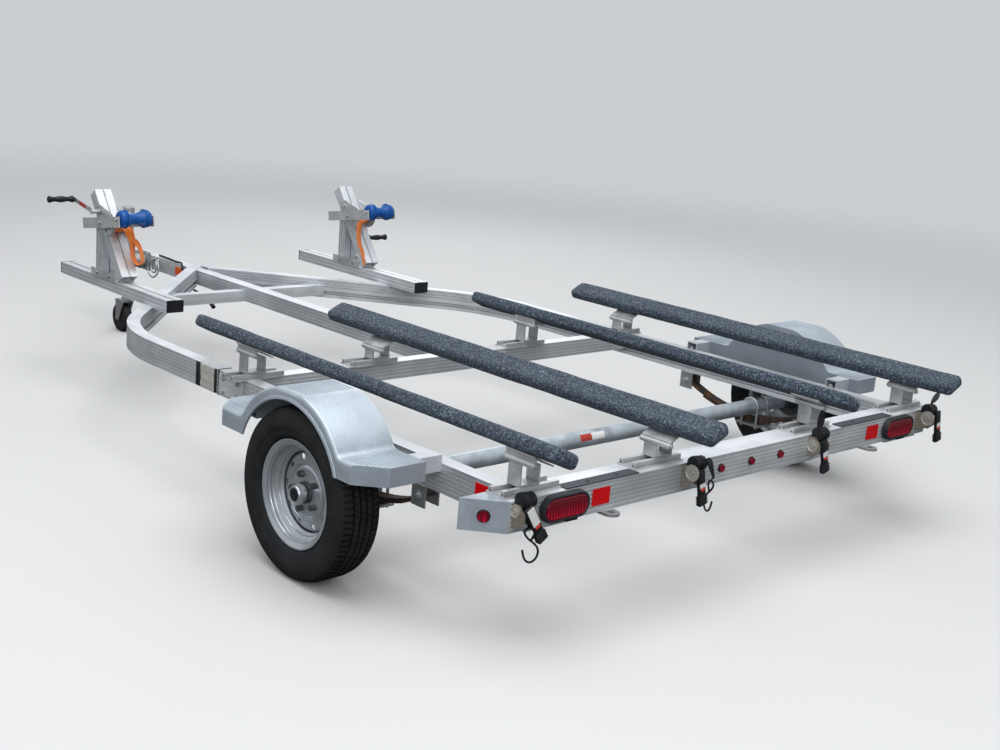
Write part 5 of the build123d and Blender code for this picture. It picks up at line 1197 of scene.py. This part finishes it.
# rail bands: black bands, a crumpled pale sleeve between them and the tail of a tie
bandSizes = {
    "outerY": 1.000, "innerY": 0.949, "top": 0.420, "bottom": 0.330, "band": (0.861, 0.867, 0.0018),
    # start, end and how far each outer strip stands out
    "strips": ((0.9935, 1.0130, 0.0030), (0.9790, 0.9890, 0.0022), (0.8770, 0.8890, 0.0030)),
    "sleeve": (0.8905, 0.9775, 0.0052), "cuts": 22, "folds": (0.017, 0.0040), "bandEdge": 0.0018,
    "stripEdge": 0.0010, "stripShort": 0.004, "sunk": 0.001,
    # tail's place, size, edge, turn, lean, segments
    "tail": ((axleX + 0.958, 0.9900, 0.4330), (0.0085, 0.0016, 0.034), 0.0006, 14.0, 10.0, 1),
}


def makeBand(sizes, start, end, proud):
    middleY, middleZ = (sizes["outerY"] + sizes["innerY"]) / 2, (sizes["top"] + sizes["bottom"]) / 2
    place = (axleX + (start + end) / 2, middleY, middleZ)
    width = sizes["outerY"] - sizes["innerY"] + 2 * proud
    height = sizes["top"] - sizes["bottom"] + 2 * proud
    return roundedBox(place, (end - start, width, height), sizes["bandEdge"])


def makeStrip(sizes, start, end, proud):
    outer = sizes["outerY"] + (proud - sizes["sunk"]) / 2
    place = (axleX + (start + end) / 2, outer, (sizes["top"] + sizes["bottom"]) / 2)
    height = sizes["top"] - sizes["bottom"] - sizes["stripShort"]
    return roundedBox(place, (end - start, proud + sizes["sunk"], height), sizes["stripEdge"])


def makeSleeve(sizes):
    piece = makeStrip(sizes, *sizes["sleeve"])
    pick(piece, "edges", lambda a, b: (a - b).length > 0.05)
    bpy.ops.mesh.subdivide(number_cuts=sizes["cuts"])
    leaveEdit()
    crumple(piece, "folds", *sizes["folds"])
    applyAll(piece)
    return piece


bands = [makeStrip(bandSizes, *strip) for strip in bandSizes["strips"]]
bands.append(makeBand(bandSizes, *bandSizes["band"]))
settle(joined(bands), "railBands", "frame", blackPlastic, 40.0)
settle(makeSleeve(bandSizes), "railSleeve", "frame", sleeveWax, 60.0)
settle(roundedBox(*bandSizes["tail"]), "tieTail", "frame", tagWhite, 40.0)

# lamps: raised flutes on the lenses, rings round the small lamps, studs on the guards
lampSizes = {
    "y": 0.857, "z": 0.377, "face": -0.7205, "count": 13, "pitch": 0.0112, "rib": 0.0052, "ribProud": 0.0030,
    "ribEdge": 0.0013, "ribLeast": 0.006, "half": 0.0825, "round": 0.030, "inset": 0.009, "bezel": -0.7155,
    "bezelWidth": 0.0085, "bezelOut": 0.0345, "turns": 14,
    # ring's section in shares of its thickness: beyond its radius, and up
    "ring": ((-1, 0), (1, 0), (0.9, 1), (0, 1.6), (-0.8, 1)), "ringSteps": 28,
    # distances to the left, station, height, radius, thickness; then place, way, radius, thickness
    "smallRings": ((0.155, 0.0, -0.155), -0.699, 0.377, 0.0125, 0.0016),
    "cornerRings": ((-0.649, 1.108, 0.375), (-0.096, 0.100), 0.0165, 0.0024),
    # a stud's radii and heights; distances to the left, station and height of studs and clips
    "stud": ((0.0, 0.0026), (0.0035, 0.0022), (0.0055, 0.0008), (0.0058, 0.0), (0.0, 0.0)), "studSteps": 18,
    "studs": ((0.745, 0.625, -0.595, -0.715), -0.681, 0.424),
    "clips": ((0.822, -0.892), -0.7015, 0.3325), "clip": (0.013, 0.046, 0.011), "clipEdge": 0.0022,
}


def makeFlutes(sizes):
    # upright ribs on each lens, shorter toward its round ends
    flutes = []
    for s in both:
        for row in range(sizes["count"]):
            shift = (row - (sizes["count"] - 1) / 2) * sizes["pitch"]
            beyond = max(0.0, abs(shift) - (sizes["half"] - sizes["round"]))
            half = math.sqrt(max(0.0, sizes["round"] ** 2 - beyond ** 2)) - sizes["inset"]
            if half >= sizes["ribLeast"]:
                place = (axleX + sizes["face"], s * sizes["y"] + shift, sizes["z"])
                size = (sizes["ribProud"], sizes["rib"], 2 * half)
                flutes.append(roundedBox(place, size, sizes["ribEdge"]))
    return joined(flutes)


def makeBezel(sizes, y):
    # soft rounded rim round an oval lens
    straight, out = sizes["half"] - sizes["round"], sizes["bezelOut"]
    outline = []
    for end in both:
        for step in range(sizes["turns"] + 1):
            turn = math.pi / 2 - math.pi * step / sizes["turns"]
            outline.append((axleX + sizes["bezel"], y + end * (straight + out * math.cos(turn)),
                            sizes["z"] + end * out * math.sin(turn)))
    return makeTube(outline + outline[:1], sizes["bezelWidth"] / 2, 1)


def makeSpun(rows, steps, place, way=(0, 0, 1)):
    # rows are radius and height, spun upright and then turned to face a way
    piece = drawChain([(r, 0, rise) for r, rise in rows])
    spinWhole(piece, (0, 0, 0), (0, 0, 1), steps)
    piece.matrix_world = Matrix.Translation(place) @ facing(way)
    applyPlace(piece)
    return piece


def makeRing(sizes, place, way, radius, thick):
    # a rubber ring round a small lamp, flat at the back
    rows = [(radius + thick * a, thick * b) for a, b in sizes["ring"]]
    return makeSpun(rows + rows[:1], sizes["ringSteps"], place, way)


settle(makeFlutes(lampSizes), "lampFlutes", "frame", lampLens, 50.0)
bezels = [makeBezel(lampSizes, s * lampSizes["y"]) for s in both]
settle(joined(bezels), "lampBezels", "frame", softRubber, 60.0)

distances, x, z, radius, thick = lampSizes["smallRings"]
rings = [makeRing(lampSizes, (axleX + x, y, z), (-1, 0, 0), radius, thick) for y in distances]
(x, y, z), (backward, outward), radius, thick = lampSizes["cornerRings"]
for s in both:
    way = Vector((backward, s * outward, 0)).normalized()
    rings.append(makeRing(lampSizes, (axleX + x, s * y, z), way, radius, thick))
settle(joined(rings), "lampRings", "frame", blackPlastic, 50.0)

distances, x, z = lampSizes["studs"]
studs = [makeSpun(lampSizes["stud"], lampSizes["studSteps"], (axleX + x, y, z)) for y in distances]
distances, x, z = lampSizes["clips"]
studs += [roundedBox((axleX + x, y, z), lampSizes["clip"], lampSizes["clipEdge"]) for y in distances]
settle(joined(studs), "guardStuds", "frame", blackPlastic, 40.0)

# safety cables: two free loops of wire rope that hang from the tongue
cableSizes = {
    "wire": 0.0042,
    "routes": {
        # length, then station, distance to the left and height of the points that steer the line
        "Outer": (0.312, (
            (3.022, 0.030, 0.402), (3.010, 0.050, 0.398), (2.988, 0.056, 0.380), (2.982, 0.058, 0.355),
            (3.000, 0.057, 0.328), (3.040, 0.055, 0.305), (3.085, 0.053, 0.312), (3.105, 0.052, 0.340),
            (3.100, 0.050, 0.372), (3.075, 0.046, 0.394), (3.060, 0.030, 0.400),
        )),
        "Inner": (0.189, (
            (3.040, 0.030, 0.398), (3.030, 0.047, 0.390), (3.018, 0.050, 0.370), (3.022, 0.050, 0.345),
            (3.045, 0.048, 0.328), (3.072, 0.047, 0.335), (3.084, 0.046, 0.358), (3.078, 0.043, 0.385),
            (3.070, 0.030, 0.396),
        )),
    },
}


def makeCable(name, route):
    # a free cable: one NURBS line with a round section, from the tongue and back into it
    clearSelection()
    bpy.ops.curve.primitive_nurbs_path_add()
    cable = bpy.context.object
    cable.data.splines.clear()
    line = cable.data.splines.new("NURBS")
    line.points.add(len(route) - 1)
    for point, (x, y, z) in zip(line.points, route):
        point.co = (axleX + x, y, z, 1.0)
    line.order_u = 3
    line.use_endpoint_u = True
    cable.data.resolution_u = 8
    cable.data.bevel_depth = cableSizes["wire"]
    cable.data.bevel_resolution = 3
    cable.data.use_fill_caps = True
    settle(cable, f"safetyCable{name}", "frame", brightZinc, 0)
    x, y, z = route[0]
    axleX + x
    2 * cableSizes["wire"]


for cableName, (cableLength, cableRoute) in cableSizes["routes"].items():
    makeCable(cableName, cableRoute)

# blank labels: bare patches where the real ones carry words
labelSizes = {
    "radius": 0.0303, "height": 0.266, "from": 128, "to": 182, "every": 6, "thick": 0.0004,
    "rows": ((0.020, 0.076, "red", labelRed), (-0.047, 0.018, "white", tagWhite)),
    # the crank arm's label: the arm's pivot, distance along it, slope, distance to the left, size, edge
    "pivot": (2.352, 0.757), "along": 0.098, "slope": 9.4, "armY": 0.7343, "arm": (0.062, 0.0008, 0.0150),
    "armEdge": 0.0003,
}


def makeLabel(sizes, start, end):
    # a thin patch wrapped on the rear upper side of the axle's tube
    radius = sizes["radius"]
    arc = [math.radians(angle) for angle in range(sizes["from"], sizes["to"], sizes["every"])]
    around = [(radius * math.cos(turn), radius * math.sin(turn)) for turn in arc]
    patch = drawChain([(axleX + x, start, sizes["height"] + z) for x, z in around])
    pullOut(patch, (0, end - start, 0))
    thicken(patch, sizes["thick"])
    return patch


for start, end, colour, finish in labelSizes["rows"]:
    settle(makeLabel(labelSizes, start, end), f"axleLabel_{colour}", "frame", finish, 40.0)
(x, z), slope = labelSizes["pivot"], math.radians(labelSizes["slope"])
along = labelSizes["along"]
place = (axleX + x + along * math.cos(slope), labelSizes["armY"], z + along * math.sin(slope))
armLabel = roundedBox(place, labelSizes["arm"], labelSizes["armEdge"], 0.0, -labelSizes["slope"], 1)
settle(armLabel, "armLabel", "frame", labelRed, 40.0)
print("bands, lamps and labels made")

# floor, light and camera
stageSizes = {
    "radius": 30.0, "fade": (4.2, 13.0), "sky": (0.93, 0.965, 1.0, 1.0), "skyStrength": 0.64,
    "cloud": (3.0, 3.0), "cloudShare": 0.3, "floor": (0.66, 0.63), "unseenFloor": 0.10,
}
clearSelection()
bpy.ops.mesh.primitive_circle_add(vertices=96, radius=stageSizes["radius"], fill_type="NGON")
floor = bpy.context.object
floor.name = "floor"
floorFinish, shader, tools, place = newFinish("floorFinish", Roughness=0.85)
shader.inputs["Specular IOR Level"].default_value = 0.1
cloudy = tools.noise(place, *stageSizes["cloud"]) * stageSizes["cloudShare"]
seen = tools.node("ShaderNodeLightPath", output="Is Camera Ray")
paleFloor = tools.mixed(cloudy, *(grey(level) for level in stageSizes["floor"]))
wire(shader, Base_Color=tools.mixed(seen, grey(stageSizes["unseenFloor"]), paleFloor))
away = tools.node("ShaderNodeVectorMath", {"operation": "LENGTH"}, {0: place}, "Value")
fade = away.ramp(*stageSizes["fade"])
clear = tools.node("ShaderNodeBsdfTransparent")
blendOut = tools.node("ShaderNodeMixShader", {}, {0: fade, 2: clear})
floorTree = floorFinish.node_tree
floorTree.links.new(shader.outputs[0], blendOut.socket.node.inputs[1])
floorTree.links.new(blendOut.socket, floorTree.nodes["Material Output"].inputs["Surface"])
floor.data.materials.append(floorFinish)

world = bpy.data.worlds.new("paleSky")
bpy.context.scene.world = world
world.use_nodes = True
background = world.node_tree.nodes["Background"]
background.inputs["Color"].default_value = stageSizes["sky"]
background.inputs["Strength"].default_value = stageSizes["skyStrength"]

lights = {
    # name: place, size, power
    "overhead": ((-1.5, 1.0, 6.5), 7.0, 325.0),
    "rearSide": ((-5.5, 4.0, 3.2), 3.0, 75.0),
    "farRim": ((4.5, -4.5, 4.0), 3.0, 60.0),
}
litSpot = Vector((-0.3, 0.0, 0.4))
for name, (spot, size, power) in lights.items():
    light = bpy.data.lights.new(name, "AREA")
    light.shape = "DISK"
    light.size = size
    light.energy = power
    lamp = bpy.data.objects.new(name, light)
    bpy.context.collection.objects.link(lamp)
    lamp.location = spot
    lamp.rotation_euler = (litSpot - Vector(spot)).to_track_quat("-Z", "Y").to_euler()

cameraSizes = {
    "place": (axleX - 3.1577, 3.4937, 1.6004), "yaw": -43.773, "pitch": 13.560, "roll": -4.740, "lens": 49.15,
    "sensor": 36.0, "clipEnd": 200.0,
}
yaw, pitch, roll = (math.radians(cameraSizes[part]) for part in ("yaw", "pitch", "roll"))
ahead = Vector((math.cos(yaw) * math.cos(pitch), math.sin(yaw) * math.cos(pitch), -math.sin(pitch)))
across = Vector((math.sin(yaw), -math.cos(yaw), 0.0))
down = ahead.cross(across)
right = across * math.cos(roll) + down * math.sin(roll)
below = across * -math.sin(roll) + down * math.cos(roll)
view = bpy.data.cameras.new("photoView")
view.sensor_width = cameraSizes["sensor"]
view.lens = cameraSizes["lens"]
view.clip_end = cameraSizes["clipEnd"]
camera = bpy.data.objects.new("photoView", view)
bpy.context.collection.objects.link(camera)
turn = Matrix((right, -below, -ahead)).transposed().to_4x4()
camera.matrix_world = Matrix.Translation(cameraSizes["place"]) @ turn
bpy.context.scene.camera = camera
bpy.context.scene.view_settings.view_transform = "Standard"
print("floor, light and camera set")
